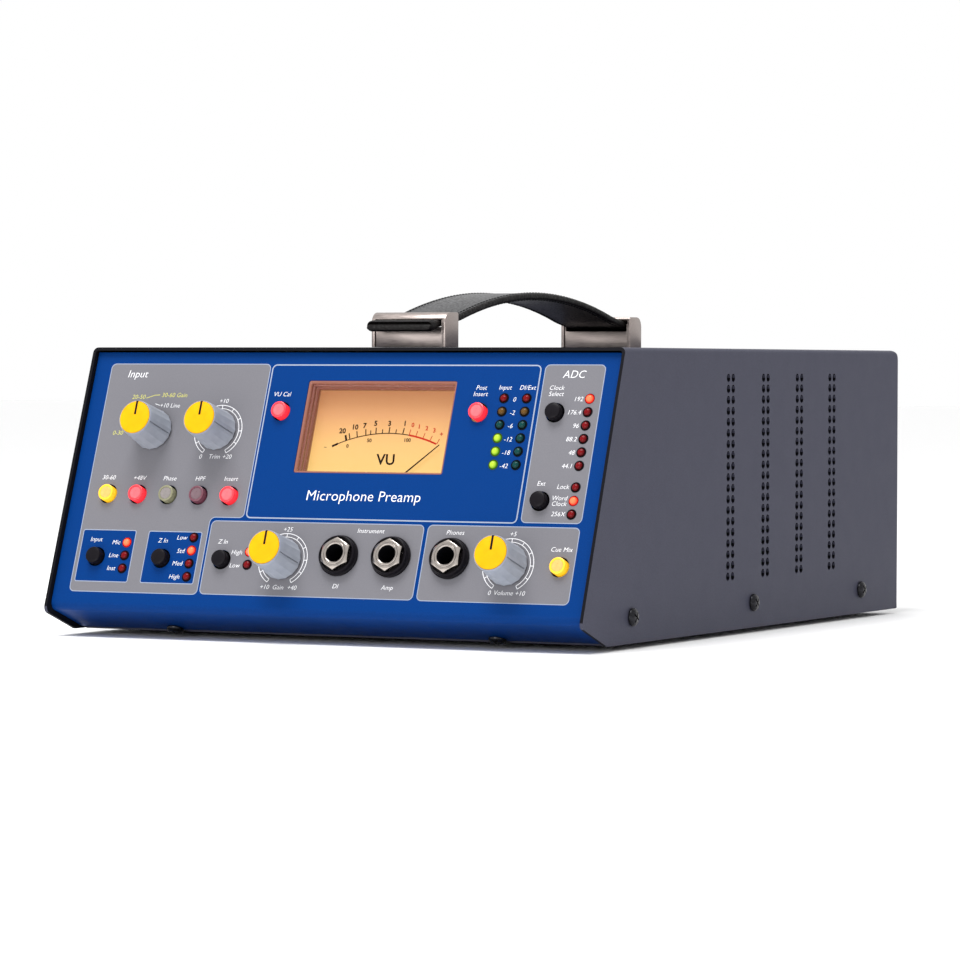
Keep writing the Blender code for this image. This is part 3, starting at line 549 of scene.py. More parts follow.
def evaluated(obj):
    """The mesh that an object makes with its modifiers; the object is removed."""
    bpy.context.scene.collection.objects.link(obj)
    mesh = bpy.data.meshes.new_from_object(obj.evaluated_get(bpy.context.evaluated_depsgraph_get()))
    bpy.data.objects.remove(obj)
    return mesh


def combined(mesh, operation, *others):
    base = bpy.data.objects.new("base", mesh)
    tools = []
    for other in others:
        tool = bpy.data.objects.new("tool", other)
        bpy.context.scene.collection.objects.link(tool)
        modifier = base.modifiers.new("combine", "BOOLEAN")
        modifier.operation = operation
        modifier.object = tool
        tools.append(tool)
    made = evaluated(base)
    for tool in tools:
        bpy.data.objects.remove(tool)
    return made


def bevelled(mesh, width, segments=2, angle=30):
    obj = bpy.data.objects.new("bevelled", mesh)
    modifier = obj.modifiers.new("bevel", "BEVEL")
    modifier.width = width
    modifier.segments = segments
    modifier.limit_method = "ANGLE"
    modifier.angle_limit = math.radians(angle)
    modifier.miter_outer = "MITER_ARC"
    return evaluated(obj)


def box_mesh(low, high):
    bm = bmesh.new()
    low = Vector(low)
    high = Vector(high)
    place = Matrix.Translation((low + high) / 2) @ Matrix.Diagonal((*(high - low), 1))
    bmesh.ops.create_cube(bm, size=1, matrix=place)
    return mesh_from(bm)


def lofted(loops, ring=False):
    """A skin over loops of equally many points. With ring, the last loop joins the first."""
    bm = bmesh.new()
    rows = [[bm.verts.new(point) for point in loop] for loop in loops]
    pairs = list(zip(rows, rows[1:]))
    if ring:
        pairs.append((rows[-1], rows[0]))
    for lower, upper in pairs:
        for index in range(len(lower)):
            after = (index + 1) % len(lower)
            bm.faces.new((lower[index], lower[after], upper[after], upper[index]))
    if not ring:
        bm.faces.new(rows[0])
        bm.faces.new(rows[-1])
    return mesh_from(bm)


def circle(radius, height, sides):
    steps = [2 * math.pi * index / sides for index in range(sides)]
    return [(radius * math.cos(step), radius * math.sin(step), height) for step in steps]


def turned(profile, sides=48):
    """Turned round Z, from a profile of (radius, height), closed at each end unless it's a ring."""
    ring = profile[0] == profile[-1]
    loops = [circle(radius, height, sides) for radius, height in profile[: -1 if ring else None]]
    return lofted(loops, ring=ring)


def rod_mesh(rods, sides=32):
    """Rods along Z, each (x, y, radius, low, high)."""
    return joined(
        (turned([(radius, low), (radius, high)], sides), Matrix.Translation((x, y, 0)))
        for x, y, radius, low, high in rods
    )


def round_corners(corners, steps=6, closed=True):
    """The points of an outline or a path whose corners, each (x, y, radius), are rounded."""
    points = []
    for index, (x, y, radius) in enumerate(corners):
        corner = Vector((x, y))
        is_end = not closed and index in (0, len(corners) - 1)
        if radius == 0 or is_end:
            points.append(corner)
            continue
        back = (Vector(corners[index - 1][:2]) - corner).normalized()
        ahead = (Vector(corners[(index + 1) % len(corners)][:2]) - corner).normalized()
        half = back.angle(ahead) / 2
        middle_point = corner + (back + ahead).normalized() * radius / math.sin(half)
        start = corner + back * radius / math.tan(half) - middle_point
        sweep = math.copysign(math.pi - 2 * half, ahead.cross(back))
        for step in range(steps + 1):
            points.append(middle_point + Matrix.Rotation(sweep * step / steps, 2) @ start)
    return points


def rounded_rectangle(left, bottom, right, top, radius, steps=6):
    corners = [(left, bottom, radius), (right, bottom, radius), (right, top, radius), (left, top, radius)]
    return round_corners(corners, steps)


def prism(outline, low, high):
    """An outline in X and Y, from one height to another."""
    return lofted([[(x, y, z) for x, y in outline] for z in (low, high)])


def prism_across(outline, low, high):
    """An outline in Y and Z, from one X to another."""
    return lofted([[(x, y, z) for y, z in outline] for x in (low, high)])


def grown(corners, distance):
    """A right-angled outline moved outward all round, or inward for a negative distance."""
    area = sum(a[0] * b[1] - b[0] * a[1] for a, b in zip(corners, corners[1:] + corners[:1]))
    moved = []
    for index, (x, y, radius) in enumerate(corners):
        corner = Vector((x, y))
        before = (corner - Vector(corners[index - 1][:2])).normalized()
        after = (Vector(corners[(index + 1) % len(corners)][:2]) - corner).normalized()
        outward = [Vector((edge.y, -edge.x)) * math.copysign(1, area) for edge in (before, after)]
        turn = before.cross(after) * math.copysign(1, area)
        place = corner + (outward[0] + outward[1]) * distance
        moved.append((place.x, place.y, max(0.05, radius + distance * turn)))
    return moved


def contains(corners, point):
    """Whether a point is inside an outline."""
    x, y = point
    crossings = 0
    for (x1, y1, _), (x2, y2, _) in zip(corners, corners[1:] + corners[:1]):
        if (y1 > y) != (y2 > y) and x < x1 + (y - y1) * (x2 - x1) / (y2 - y1):
            crossings += 1
    return crossings % 2 == 1


def curve_mesh(curve, layer):
    """The solid of a flat curve or of words, between two heights."""
    low, high = layer
    curve.extrude = (high - low) / 2
    obj = bpy.data.objects.new("curve", curve)
    mesh = evaluated(obj)
    mesh.transform(Matrix.Translation((0, 0, (low + high) / 2)))
    return mesh


def filled(loops, layer):
    """A thin sheet in the shape of the first loop, less the loops inside it."""
    curve = bpy.data.curves.new("sheet", "CURVE")
    curve.dimensions = "2D"
    curve.fill_mode = "BOTH"
    for loop in loops:
        spline = curve.splines.new("POLY")
        spline.points.add(len(loop) - 1)
        for point, (x, y) in zip(spline.points, loop):
            point.co = (x, -y, 0, 1)
        spline.use_cyclic_u = True
    return curve_mesh(curve, layer)


def words_curve(words, size, slant):
    curve = bpy.data.curves.new("words", "FONT")
    curve.body = words
    curve.size = size
    curve.shear = slant
    curve.align_x = "CENTER"
    curve.resolution_u = 3
    curve.space_character = 1.02
    return curve


def cap_share():
    """Height of a capital letter, as a share of the text size."""
    mesh = curve_mesh(words_curve("H", 1, 0), (0, 0.01))
    heights = [vertex.co.y for vertex in mesh.vertices]
    return max(heights) - min(heights)


CAP_SHARE = cap_share()


def printed(words, across, down, cap, layer=WORDS_LAYER, slant=0.2, weight=-0.008, align="CENTER"):
    """Words centred on a place, as a thin solid. Gives (mesh, place)."""
    size = cap / CAP_SHARE
    curve = words_curve(words, size, slant)
    curve.offset = weight * size
    curve.align_x = align
    return curve_mesh(curve, layer), Matrix.Translation((across, -down - cap / 2, 0))


def stroke(start, end, width, layer):
    """A straight printed line between two places."""
    start = Vector(start)
    end = Vector(end)
    side = (end - start).orthogonal().normalized() * width / 2
    outline = [start - side, end - side, end + side, start + side]
    return prism([(point.x, -point.y) for point in outline], *layer), Matrix()


def arc_points(middle_point, radius, start, end, steps):
    """Places along an arc; its angles are from straight up, clockwise, in degrees."""
    x, y = middle_point
    angles = [math.radians(start + (end - start) * step / steps) for step in range(steps + 1)]
    return [(x + radius * math.sin(angle), y - radius * math.cos(angle)) for angle in angles]


def arc(middle_point, radius, width, start, end, layer, steps=48):
    outer = arc_points(middle_point, radius + width / 2, start, end, steps)
    inner = arc_points(middle_point, radius - width / 2, end, start, steps)
    return filled([outer + inner], layer), Matrix()


def piece(name, mesh, materials, body="case", place=None, stands_for=()):
    """A shown piece of the object, riding on a body and standing for CAD nodes."""
    obj = bpy.data.objects.new(name, mesh)
    bpy.context.scene.collection.objects.link(obj)
    obj.matrix_world = place or Matrix()
    if not mesh.materials:
        for material in materials:
            mesh.materials.append(material)
    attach(obj, body)
    if stands_for:
        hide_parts(*stands_for)
    return obj


def show(node, kind, mesh, materials, place, body="case"):
    """A piece that stands for one node."""
    piece(f"{node}_{kind}", mesh, materials, body, place, [node])


def cross_mesh(reach, half_width, low, high=3):
    """Two bars that cross on Z."""
    bars = [(reach, half_width), (half_width, reach)]
    meshes = [box_mesh((-x, -y, low), (x, y, high)) for x, y in bars]
    return combined(meshes[0], "UNION", meshes[1])


# ---------------------------------------------------------------- materials

SLATE = paint("slate_powder_paint", (0.052, 0.053, 0.076), 0.42, 0.04)
# Near-black for the cover's cut edges and its inner faces; on the inner faces it is painted shade.
EDGE_AND_INNER_SHADE = paint("cut_edge_and_painted_inner_shade", (0.006, 0.006, 0.008), 0.5, 0.05)
BLUE = paint("blue_panel_paint", (0.0005, 0.0295, 0.152), 0.38, 0.05)
GREY_INK = ink("grey_ink", (0.149, 0.147, 0.163))
LINE_INK = ink("pale_line_ink", (0.26, 0.3, 0.39))
WHITE_INK = ink("white_ink", (0.75, 0.75, 0.77))
YELLOW_INK = ink("yellow_ink", (0.55, 0.53, 0.12))
BLACK_INK = ink("black_ink", (0.008, 0.003, 0.002))
RED_INK = ink("red_ink", (0.45, 0.02, 0.01))
KNOB_GREY = moulded("knob_grey_plastic", (0.28, 0.3, 0.345), 0.36, 0.25)
# A darker grey for the knob's seam: painted shade in its groove.
KNOB_SEAM_SHADE = moulded("knob_seam_painted_shade", (0.17, 0.18, 0.21), 0.5)
CAP_YELLOW = moulded("cap_yellow_plastic", (0.7, 0.345, 0.0), 0.4)
SATIN_BLACK = moulded("satin_black_plastic", (0.006, 0.005, 0.007), 0.34, 0.08)
GLOSS_BLACK = moulded("gloss_black_plastic", (0.01, 0.01, 0.01), 0.2, 0.4)
DEEP_BLACK = moulded("deep_black_plastic", (0.003, 0.003, 0.004), 0.5, 0.05)
RUBBER = moulded("foot_rubber", (0.02, 0.02, 0.02), 0.75, depth=0.05)
NICKEL = plated("brushed_nickel", (0.36, 0.31, 0.29), 0.36, stretch=(0.12, 1, 1))
BRIGHT_NICKEL = plated("bright_nickel", (0.4, 0.36, 0.33), 0.18, grain=2.5, depth=0.002)
STEEL = plated("bare_steel_grain", (0.5, 0.5, 0.5), 0.38)
BLACK_STEEL = plated("blackened_steel", (0.025, 0.025, 0.028), 0.24)
LEATHER = leather("black_strap_leather", (0.008, 0.008, 0.01), 0.36, 0.28, 0.7, 0.05)
RAW_LEATHER = leather("strap_edge_leather", (0.003, 0.002, 0.002), 0.55, 0.15, 0.9, 0.25)
THREAD = moulded("black_thread", (0.012, 0.012, 0.012), 0.6, grain=0.3, depth=0.05)
METER_WALLS_PAINTED_LIGHT = meter_wall_painted_bands()
DIAL_CARD = dial_finish()
PANE = pane_finish()

BUTTON_TOPS = {
    "red": lit_plastic("lit_red_top", (0.48, 0.085, 0.1), 0.62),
    "amber": lit_plastic("lit_amber_top", (0.5, 0.31, 0.08), 0.56),
    "grey": lit_plastic("unlit_grey_top", (0.2, 0.178, 0.172), 0.0),
    "plum": lit_plastic("unlit_plum_top", (0.14, 0.085, 0.1), 0.0),
}
BUTTON_SIDES = {
    "red": lit_plastic("lit_red_side", (0.75, 0.02, 0.03), 0.9),
    "amber": lit_plastic("lit_amber_side", (0.75, 0.38, 0.01), 0.8),
    "grey": lit_plastic("unlit_grey_side", (0.19, 0.185, 0.11), 0.0),
    "plum": lit_plastic("unlit_plum_side", (0.13, 0.035, 0.055), 0.0),
}
LENSES = {
    "red": lens("red_lens", (0.08, 0.001, 0.002)),
    "yellow": lens("yellow_lens", (0.055, 0.028, 0.006)),
    "green": lens("green_lens", (0.001, 0.022, 0.021)),
    "lit_red": lens("lit_red_lens", (0.4, 0.02, 0.01), 1.9, ((1, 0.02, 0.01), (1, 0.16, 0.06))),
    "lit_green": lens("lit_green_lens", (0.06, 0.12, 0.01), 0.7, ((0.08, 0.4, 0.01), (0.75, 0.9, 0.04))),
}
# Collars of lit lamps glow: a painted halo of the lamp's light on a part that is no lamp.
HALO_COLLARS = {
    "lit_red": lens("lit_red_collar_painted_halo", (0.1, 0.004, 0.004), 0.5, ((0.6, 0.01, 0.01), (0.6, 0.01, 0.01))),
    "lit_green": lens("lit_green_collar_painted_halo", (0.02, 0.05, 0.004), 0.2, ((0.2, 0.4, 0.01), (0.2, 0.4, 0.01))),
}


# ---------------------------------------------------------------- case


def side_outline():
    """Side view of the cover, as (y, z, radius)."""
    top_front = Vector((FRONT_EDGE_Y, CASE_TOP))
    nose = top_front + SLOPE_LENGTH * DOWN.yz
    fold_end = nose - OUT.yz * (nose.y - CASE_BOTTOM) / OUT.z
    return [
        (*top_front, 0),
        (*nose, 2.5),
        (fold_end.x, CASE_BOTTOM, 1),
        (BACK_Y, CASE_BOTTOM, 1),
        (BACK_Y, CASE_TOP, 4),
    ]


VENT_BARS = 4
VENT_BAR_PITCH = 33
VENT_COLUMN_PITCH = 4.4
VENT_ROWS = 19
VENT_ROW_PITCH = 4.1
VENT_CENTRE = (142, 57)
VENT_RADIUS = 1.6


SCREW_HOLE = 1.9


def across_rod(y, z, radius, sides=16):
    """A rod right through the case, along X."""
    reach = 2 * HALF_WIDTH
    points = [(y + b, z + c) for b, c, _ in circle(radius, 0, sides)]
    return prism_across(points, -reach, reach), Matrix()


def vent_rods():
    rods = []
    for bar in range(VENT_BARS):
        along = VENT_CENTRE[0] + (bar - (VENT_BARS - 1) / 2) * VENT_BAR_PITCH
        for side in (-0.5, 0.5):
            for row in range(VENT_ROWS):
                up = VENT_CENTRE[1] + (row - (VENT_ROWS - 1) / 2) * VENT_ROW_PITCH
                y = FRONT_EDGE_Y + along + side * VENT_COLUMN_PITCH
                rods.append(across_rod(y, CASE_BOTTOM + up, VENT_RADIUS))
    return rods


def build_cover():
    """One sheet folded over the top and both sides, with its vents and screw holes."""
    bend = 2
    past = 5
    reach = 2 * HALF_WIDTH
    below = CASE_BOTTOM - past
    sections = []
    for inset in (0, SHEET):
        half, top, radius = HALF_WIDTH - inset, CASE_TOP - inset, bend - inset
        corners = [(-half, below, 0), (-half, top, radius), (half, top, radius), (half, below, 0)]
        sections.append(round_corners(corners, closed=False))
    outline = sections[0] + sections[1][::-1]
    shell = lofted([[(x, y, z) for x, z in outline] for y in (COVER_LOW.y - past, BACK_Y + past)])
    mesh = combined(shell, "INTERSECT", prism_across(round_corners(side_outline()), -reach, reach))
    screws = [middle_of(f"{end}_left_screw") for end in ("middle", "front", "rear")]
    holes = vent_rods() + [across_rod(place.y, place.z, SCREW_HOLE) for place in screws]
    mesh = combined(mesh, "DIFFERENCE", joined(holes))
    # Cut edges and inner faces take the near-black slot: on the inner faces this is painted shade, where the
    # inside of the cover falls in shadow.
    for face in mesh.polygons:
        is_cut = max(face.normal.dot(OUT), face.normal.dot(DOWN)) > 0.95
        faces_in = face.center.x * face.normal.x < -1 or face.normal.z < -0.9
        if is_cut or faces_in:
            face.material_index = 1
    piece("cover_shell", finished(mesh), [SLATE, EDGE_AND_INNER_SHADE], stands_for=["outer_cover"])


def middle_of(node):
    low, high = world_box(node)
    return (low + high) / 2


def lamp_places(bank):
    """(across, down, colour) of each lamp of a bank."""
    across, down, _ = extent(bank)
    return [
        (middle(across) + offset, down[0] + LAMP_MARGIN + first + row * LAMP_PITCH, colour)
        for offset, first, colours in LAMP_COLUMNS[bank]
        for row, colour in enumerate(colours)
    ]


KNOB_HOLE = 3.4
JACK_HOLE = 5.1


def control_holes():
    """(across, down, radius) of every hole in the front panel."""
    holes = [(*centre(name + "_knob"), KNOB_HOLE) for name in KNOBS]
    holes += [(*button_centre(name), BUTTON_RADIUS + 2 * GAP) for name in BUTTONS]
    holes += [(*centre(name), JACK_HOLE) for name in JACKS]
    for bank in LAMP_COLUMNS:
        holes += [(across, down, LAMP_RADIUS + GAP) for across, down, _ in lamp_places(bank)]
    return holes


BUTTONS = list(LIT_BUTTONS) + BLACK_BUTTONS
WINDOW_ACROSS, WINDOW_DOWN, _ = extent("meter_window")
WINDOW = (WINDOW_ACROSS[0] - GAP, -WINDOW_DOWN[1] - GAP, WINDOW_ACROSS[1] + GAP, GAP - WINDOW_DOWN[0])


def build_front_panel():
    """A plate folded under at its foot, with holes for the controls, the window and two screws."""
    across, down, out = extent("front_panel")
    section = []
    for inset in (0, PLATE):
        bottom = inset - down[1]
        corners = [(-down[0], -inset, 0), (bottom, -inset, 3 - inset), (bottom, out[0], 0)]
        section.append(round_corners(corners, steps=8, closed=False))
    mesh = prism_across(section[0] + section[1][::-1], *across)
    deep = 3 * PLATE
    rods = rod_mesh([(x, -y, radius, -deep, deep) for x, y, radius in control_holes()], 40)
    window = prism(rounded_rectangle(*WINDOW, 0.8), -deep, deep)
    mesh = combined(mesh, "DIFFERENCE", rods, window)
    screws = []
    for side in ("left", "right"):
        x, y = centre(f"panel_{side}_screw")
        inward = middle(extent(f"panel_{side}_screw")[2])
        turn = Matrix.Translation((x, -y, inward)) @ Matrix.Rotation(math.pi / 2, 4, "X")
        screws.append((rod_mesh([(0, 0, SCREW_HOLE, -deep, deep)]), turn))
    mesh = finished(combined(mesh, "DIFFERENCE", joined(screws)))
    piece("panel_plate", mesh, [BLUE], place=PANEL, stands_for=["front_panel"])


def area_loops(corners, boxes):
    """An area's outline, the boxes left blank in it, and the holes of the controls in it."""
    loops = [round_corners(shape) for shape in [corners] + boxes]
    for x, y, radius in control_holes():
        blank = any(contains(box, (x, y)) for box in boxes)
        if contains(corners, (x, y)) and not blank:
            loops.append([(x + a, y + b) for a, b, _ in circle(radius, 0, 32)])
    return loops


def build_printed_areas():
    areas = [(INPUT_AREA, SELECTOR_BOXES), (CONVERTER_AREA, []), (INSTRUMENT_AREA, []), (PHONES_AREA, [])]
    sheets = [(filled(area_loops(corners, boxes), AREA_LAYER), Matrix()) for corners, boxes in areas]
    piece("printed_areas", finished(joined(sheets)), [GREY_INK], place=PANEL)

    lines = [(corners, grown(corners, -AREA_LINE)) for corners, _ in areas]
    lines += [(grown(box, AREA_LINE), box) for box in SELECTOR_BOXES]
    lines.append((METER_AREA, grown(METER_AREA, -METER_AREA_LINE)))
    sheets = [(filled([round_corners(shape) for shape in line], WORDS_LAYER), Matrix()) for line in lines]
    piece("printed_lines", finished(joined(sheets)), [LINE_INK], place=PANEL)


def words_beside(table):
    parts = []
    for node, words in table.items():
        across, down = centre(node)
        parts += [printed(text, across + x, down + y, SMALL_CAP) for text, x, y in words]
    return parts


def lamp_words():
    """The words beside the two large lamp banks."""
    parts = []
    across, down, _ = extent("level_lamps")
    x, top = middle(across), down[0]
    parts += [printed(text, x + offset, top - 1.7, SMALL_CAP) for text, offset in LEVEL_HEADINGS]
    for row, text in enumerate(LEVEL_WORDS):
        parts.append(printed(text, x - 0.3, top + LAMP_MARGIN + 0.4 + LAMP_PITCH * row, SMALL_CAP))
    across, down, _ = extent("clock_lamps")
    edge, first = middle(across) - 2.6, down[0] + LAMP_MARGIN
    for row, text in enumerate(CLOCK_WORDS):
        parts.append(printed(text, edge, first + 0.1 + LAMP_PITCH * row, SMALL_CAP, align="RIGHT"))
    for text, offset in LOCK_WORDS:
        parts.append(printed(text, edge, first + 32.8 + offset, SMALL_CAP, align="RIGHT"))
    return parts


KNOB_LIMIT = 150


def scale_ring(node):
    """Two arcs round a knob, joined by a tick for every thirty degrees."""
    place = centre(node)
    inner, outer, width = 8.6, 9.9, 0.25
    parts = [arc(place, radius, width, -KNOB_LIMIT, KNOB_LIMIT, WORDS_LAYER) for radius in (inner, outer)]
    for angle in range(-KNOB_LIMIT, KNOB_LIMIT + 1, 30):
        reaches = (inner + width / 2, outer - width / 2)
        ends = [arc_points(place, radius, angle, angle, 1)[0] for radius in reaches]
        parts.append(stroke(*ends, width, WORDS_LAYER))
    return parts


def build_printed_words():
    white = words_beside(WHITE_WORDS) + lamp_words()
    white += [printed(*heading) for heading in HEADINGS]
    white.append(printed(*MAKERS_LINE, slant=0.05))
    x, y = centre("input_gain_knob")
    pointer_width = 0.22
    white.append(stroke((x - 1.6, y - 10.4), (x + 0.4, y - 9.8), pointer_width, WORDS_LAYER))
    for name in KNOBS:
        if name != "input_gain":
            white += scale_ring(name + "_knob")
    piece("printed_words", finished(joined(white)), [WHITE_INK], place=PANEL)

    yellow = words_beside(YELLOW_WORDS)
    bend = (x - 2.4, y - 13.8)
    for start, end in (((x - 6, y - 12.6), bend), (bend, (x - 0.3, y - 13.9))):
        yellow.append(stroke(start, end, pointer_width, WORDS_LAYER))
    mesh = finished(joined(yellow))
    piece("printed_gain_ranges", mesh, [YELLOW_INK], place=PANEL)


def screw_mesh():
    """A pan head with a cross recess, on its shank."""
    shank = [(1.4, -4.5), (1.5, -4.3), (1.5, GAP)]
    dome = [(3.2, GAP), (3.3, 0.5), (3.2, 1.1), (2.7, 1.7), (1.9, 2.05), (0.9, 2.18), (0.2, 2.2)]
    return bevelled(combined(turned(shank + dome, 40), "DIFFERENCE", cross_mesh(2, 0.32, 0.9)), 0.08, 1, 50)


def build_screws():
    mesh = finished(screw_mesh())
    quarter = math.pi / 2
    for side, turn in (("right", 1), ("left", -1)):
        for end in ("front", "middle", "rear"):
            node = f"{end}_{side}_screw"
            place = middle_of(node)
            tightened = 0.35 + place.y
            rotation = Matrix.Rotation(turn * quarter, 4, "Y") @ Matrix.Rotation(tightened, 4, "Z")
            show(node, "head", mesh, [BLACK_STEEL], at(turn * HALF_WIDTH, place.y, place.z, rotation))
    foot = extent("front_panel")[1][1]
    for side in ("left", "right"):
        node = f"panel_{side}_screw"
        place = on_panel(centre(node)[0], foot, middle(extent(node)[2]))
        show(node, "head", mesh, [BLACK_STEEL], place @ Matrix.Rotation(quarter, 4, "X"))


def build_feet():
    for node in sorted(name for name in NODES if name.endswith("_foot")):
        low, high = world_box(node)
        radius, top = (high.x - low.x) / 2, high.z
        hollow = [(1, 0.5), (radius - 2.4, 0.4)]
        side = [(radius - 1.6, 0), (radius - 0.9, 0.1), (radius, top - 0.4), (radius - 0.1, top)]
        spot = middle_of(node)
        show(node, "pad", finished(turned(hollow + side, 48)), [RUBBER], at(spot.x, spot.y, 0))


# ---------------------------------------------------------------- handle


STRAP_THICKNESS = 2.5
STRAP_ROLL = 4


def strap_path(step=2.5, fine_step=0.3, fine_reach=3):
    """(y, z) of the strap's middle, from end to end, with closer points at its ends."""
    mesh = NODES["handle_strap"].data
    corners = [vertex.co for vertex in mesh.vertices]
    tree = BVHTree.FromPolygons(corners, [tuple(face.vertices) for face in mesh.polygons])
    low, high = world_box("handle_strap")
    up = Vector((0, 0, 1))
    path = []
    start, end = low.y + 0.2, high.y - 0.2
    y = start
    while y < end:
        over = tree.ray_cast(Vector((0, y, high.z + 10)) * MM, -up)[0].z
        under = tree.ray_cast(Vector((0, y, low.z - 10)) * MM, up)[0].z
        path.append(Vector((y, (over + under) / 2 / MM)))
        y += fine_step if min(y - start, end - y) < fine_reach else step
    return path


def path_frames(path):
    """(place, unit tangent, unit normal, distance along) at each point of a path in Y and Z."""
    frames = []
    travelled = 0
    for index, place in enumerate(path):
        if index:
            travelled += (place - path[index - 1]).length
        ahead = path[min(index + 1, len(path) - 1)] - path[max(index - 1, 0)]
        tangent = ahead.normalized()
        frames.append((place, tangent, Vector((-tangent.y, tangent.x)), travelled))
    return frames


def build_strap():
    """A flat band that thickens into a roll at each end, and tapers off over its last stretch."""
    low, high = world_box("handle_strap")
    half = (high.x - low.x) / 2
    frames = path_frames(strap_path())
    length = frames[-1][3]
    roll, rounding = 7, 1.8
    loops = []
    for place, _, normal, travelled in frames:
        to_end = min(travelled, length - travelled)
        swell = min(1, max(0, roll - to_end) / 2)
        taper = math.sqrt(max(0.02, 1 - max(0, 1 - to_end / rounding) ** 2))
        deep = (STRAP_THICKNESS + (STRAP_ROLL - STRAP_THICKNESS) * swell) * taper / 2
        wide = half + 0.4 * swell - rounding * (1 - taper) / 2
        radius = min(1.6, deep * 0.95) if swell else 1
        outline = rounded_rectangle(-wide, -deep, wide, deep, radius, 5)
        loops.append([(x, place.x + normal.x * z, place.y + normal.y * z) for x, z in outline])
    mesh = lofted(loops)
    for face in mesh.polygons:
        is_side = abs(face.normal.x) > 0.5 or abs(face.center.x) > half - 0.9
        to_end = min(face.center.y - low.y, high.y - face.center.y)
        face.material_index = 1 if is_side or to_end < roll else 0
    finished(mesh, 60)
    piece("strap_band", mesh, [LEATHER, RAW_LEATHER], stands_for=["handle_strap"])
    build_stitches(frames, half)


def build_stitches(frames, half):
    """A row of stitches along each edge, over the arch between the brackets."""
    clear = 3
    start = world_box("front_handle_bracket")[1].y + clear
    end = world_box("rear_handle_bracket")[0].y - clear
    pitch, length, radius, inset = 2.4, 1.7, 0.33, 1.9
    tip, shoulder = length / 2, length / 2 - 0.3
    lay = Matrix.Rotation(math.pi / 2, 4, "X")
    parts = []
    due = frames[0][3]
    for place, tangent, normal, travelled in fine_frames(frames):
        if travelled < due or not start < place.x < end:
            continue
        due = travelled + pitch
        lean = Matrix.Rotation(math.atan2(tangent.y, tangent.x), 4, "X")
        for side in (-1, 1):
            for face in (-1, 1):
                spot = place + normal * face * STRAP_THICKNESS / 2
                bead = turned([(0.05, -tip), (radius, -shoulder), (radius, shoulder), (0.05, tip)], 8)
                place_of_bead = Matrix.Translation((side * (half - inset), spot.x, spot.y))
                parts.append((bead, place_of_bead @ lean @ lay))
    piece("strap_stitches", finished(joined(parts), 60), [THREAD])


def fine_frames(frames, splits=20):
    """The frames of a path with more between them."""
    for first, second in zip(frames, frames[1:]):
        for split in range(splits):
            share = split / splits
            yield tuple(a + (b - a) * share for a, b in zip(first, second))


def build_brackets():
    """Each bracket is a bent loop over the strap, with a block under it that fills its sides."""
    wall, lip_length, lip_depth = 1.3, 2.2, 2.6
    strap_half = world_box("handle_strap")[1].x
    for end in ("front", "rear"):
        node = end + "_handle_bracket"
        low, high = world_box(node)
        half = (high.x - low.x) / 2
        length, height = high.y - low.y, high.z - low.z
        faces_front = end == "front"
        rounds = (0.8, 4) if faces_front else (4, 0.8)
        corners = [(0, 0, 0.2), (length, 0, 0.2), (length, height, rounds[0]), (0, height, rounds[1])]
        loop = prism_across(round_corners(corners), -half, half)
        outer = -1 if faces_front else length + 1
        inner = length - outer
        lip = lip_length if faces_front else length - lip_length
        ceiling, lip_under = height - wall, height - lip_depth
        room = [(outer, -1), (outer, lip_under), (lip, lip_under), (lip, ceiling), (inner, ceiling)]
        room = [Vector(point) for point in room + [(inner, -1)]]
        room = prism_across(room, wall - half, half - wall)
        loop = bevelled(combined(loop, "DIFFERENCE", room), 0.3, 2, 40)
        place = at(0, low.y, low.z)
        show(node, "loop", finished(loop, 40), [NICKEL], place)
        inside = [spot.y for spot in strap_path() if low.y < spot.x < high.y]
        block_top = min(inside) - low.z - STRAP_THICKNESS / 2
        side, shoulder = half - wall - 0.15, strap_half + 0.3
        shoulder_top = height - 2.8
        right = [(side, shoulder_top), (shoulder, shoulder_top), (shoulder, block_top)]
        outline = [(-side, 0), (side, 0)] + right + [(-x, z) for x, z in reversed(right)]
        block = lofted([[(x, y, z) for x, z in outline] for y in (0.5, length - 0.5)])
        show(node, "block", finished(bevelled(block, 0.3, 2), 40), [NICKEL], place)


# ---------------------------------------------------------------- controls

KNOB_FLATS = 16
KNOB_SIDES = 144
KNOB_SEAM_ANGLE = -12
KNOB_SEAM_DEPTH = 0.35


def knob_radius(angle, radius, flatness):
    """Radius of the knob's body at an angle: from a circle towards a polygon."""
    sector = 2 * math.pi / KNOB_FLATS
    offset = (angle % sector) - sector / 2
    flat = math.cos(sector / 2) / math.cos(offset)
    return radius * (1 - flatness + flatness * flat)


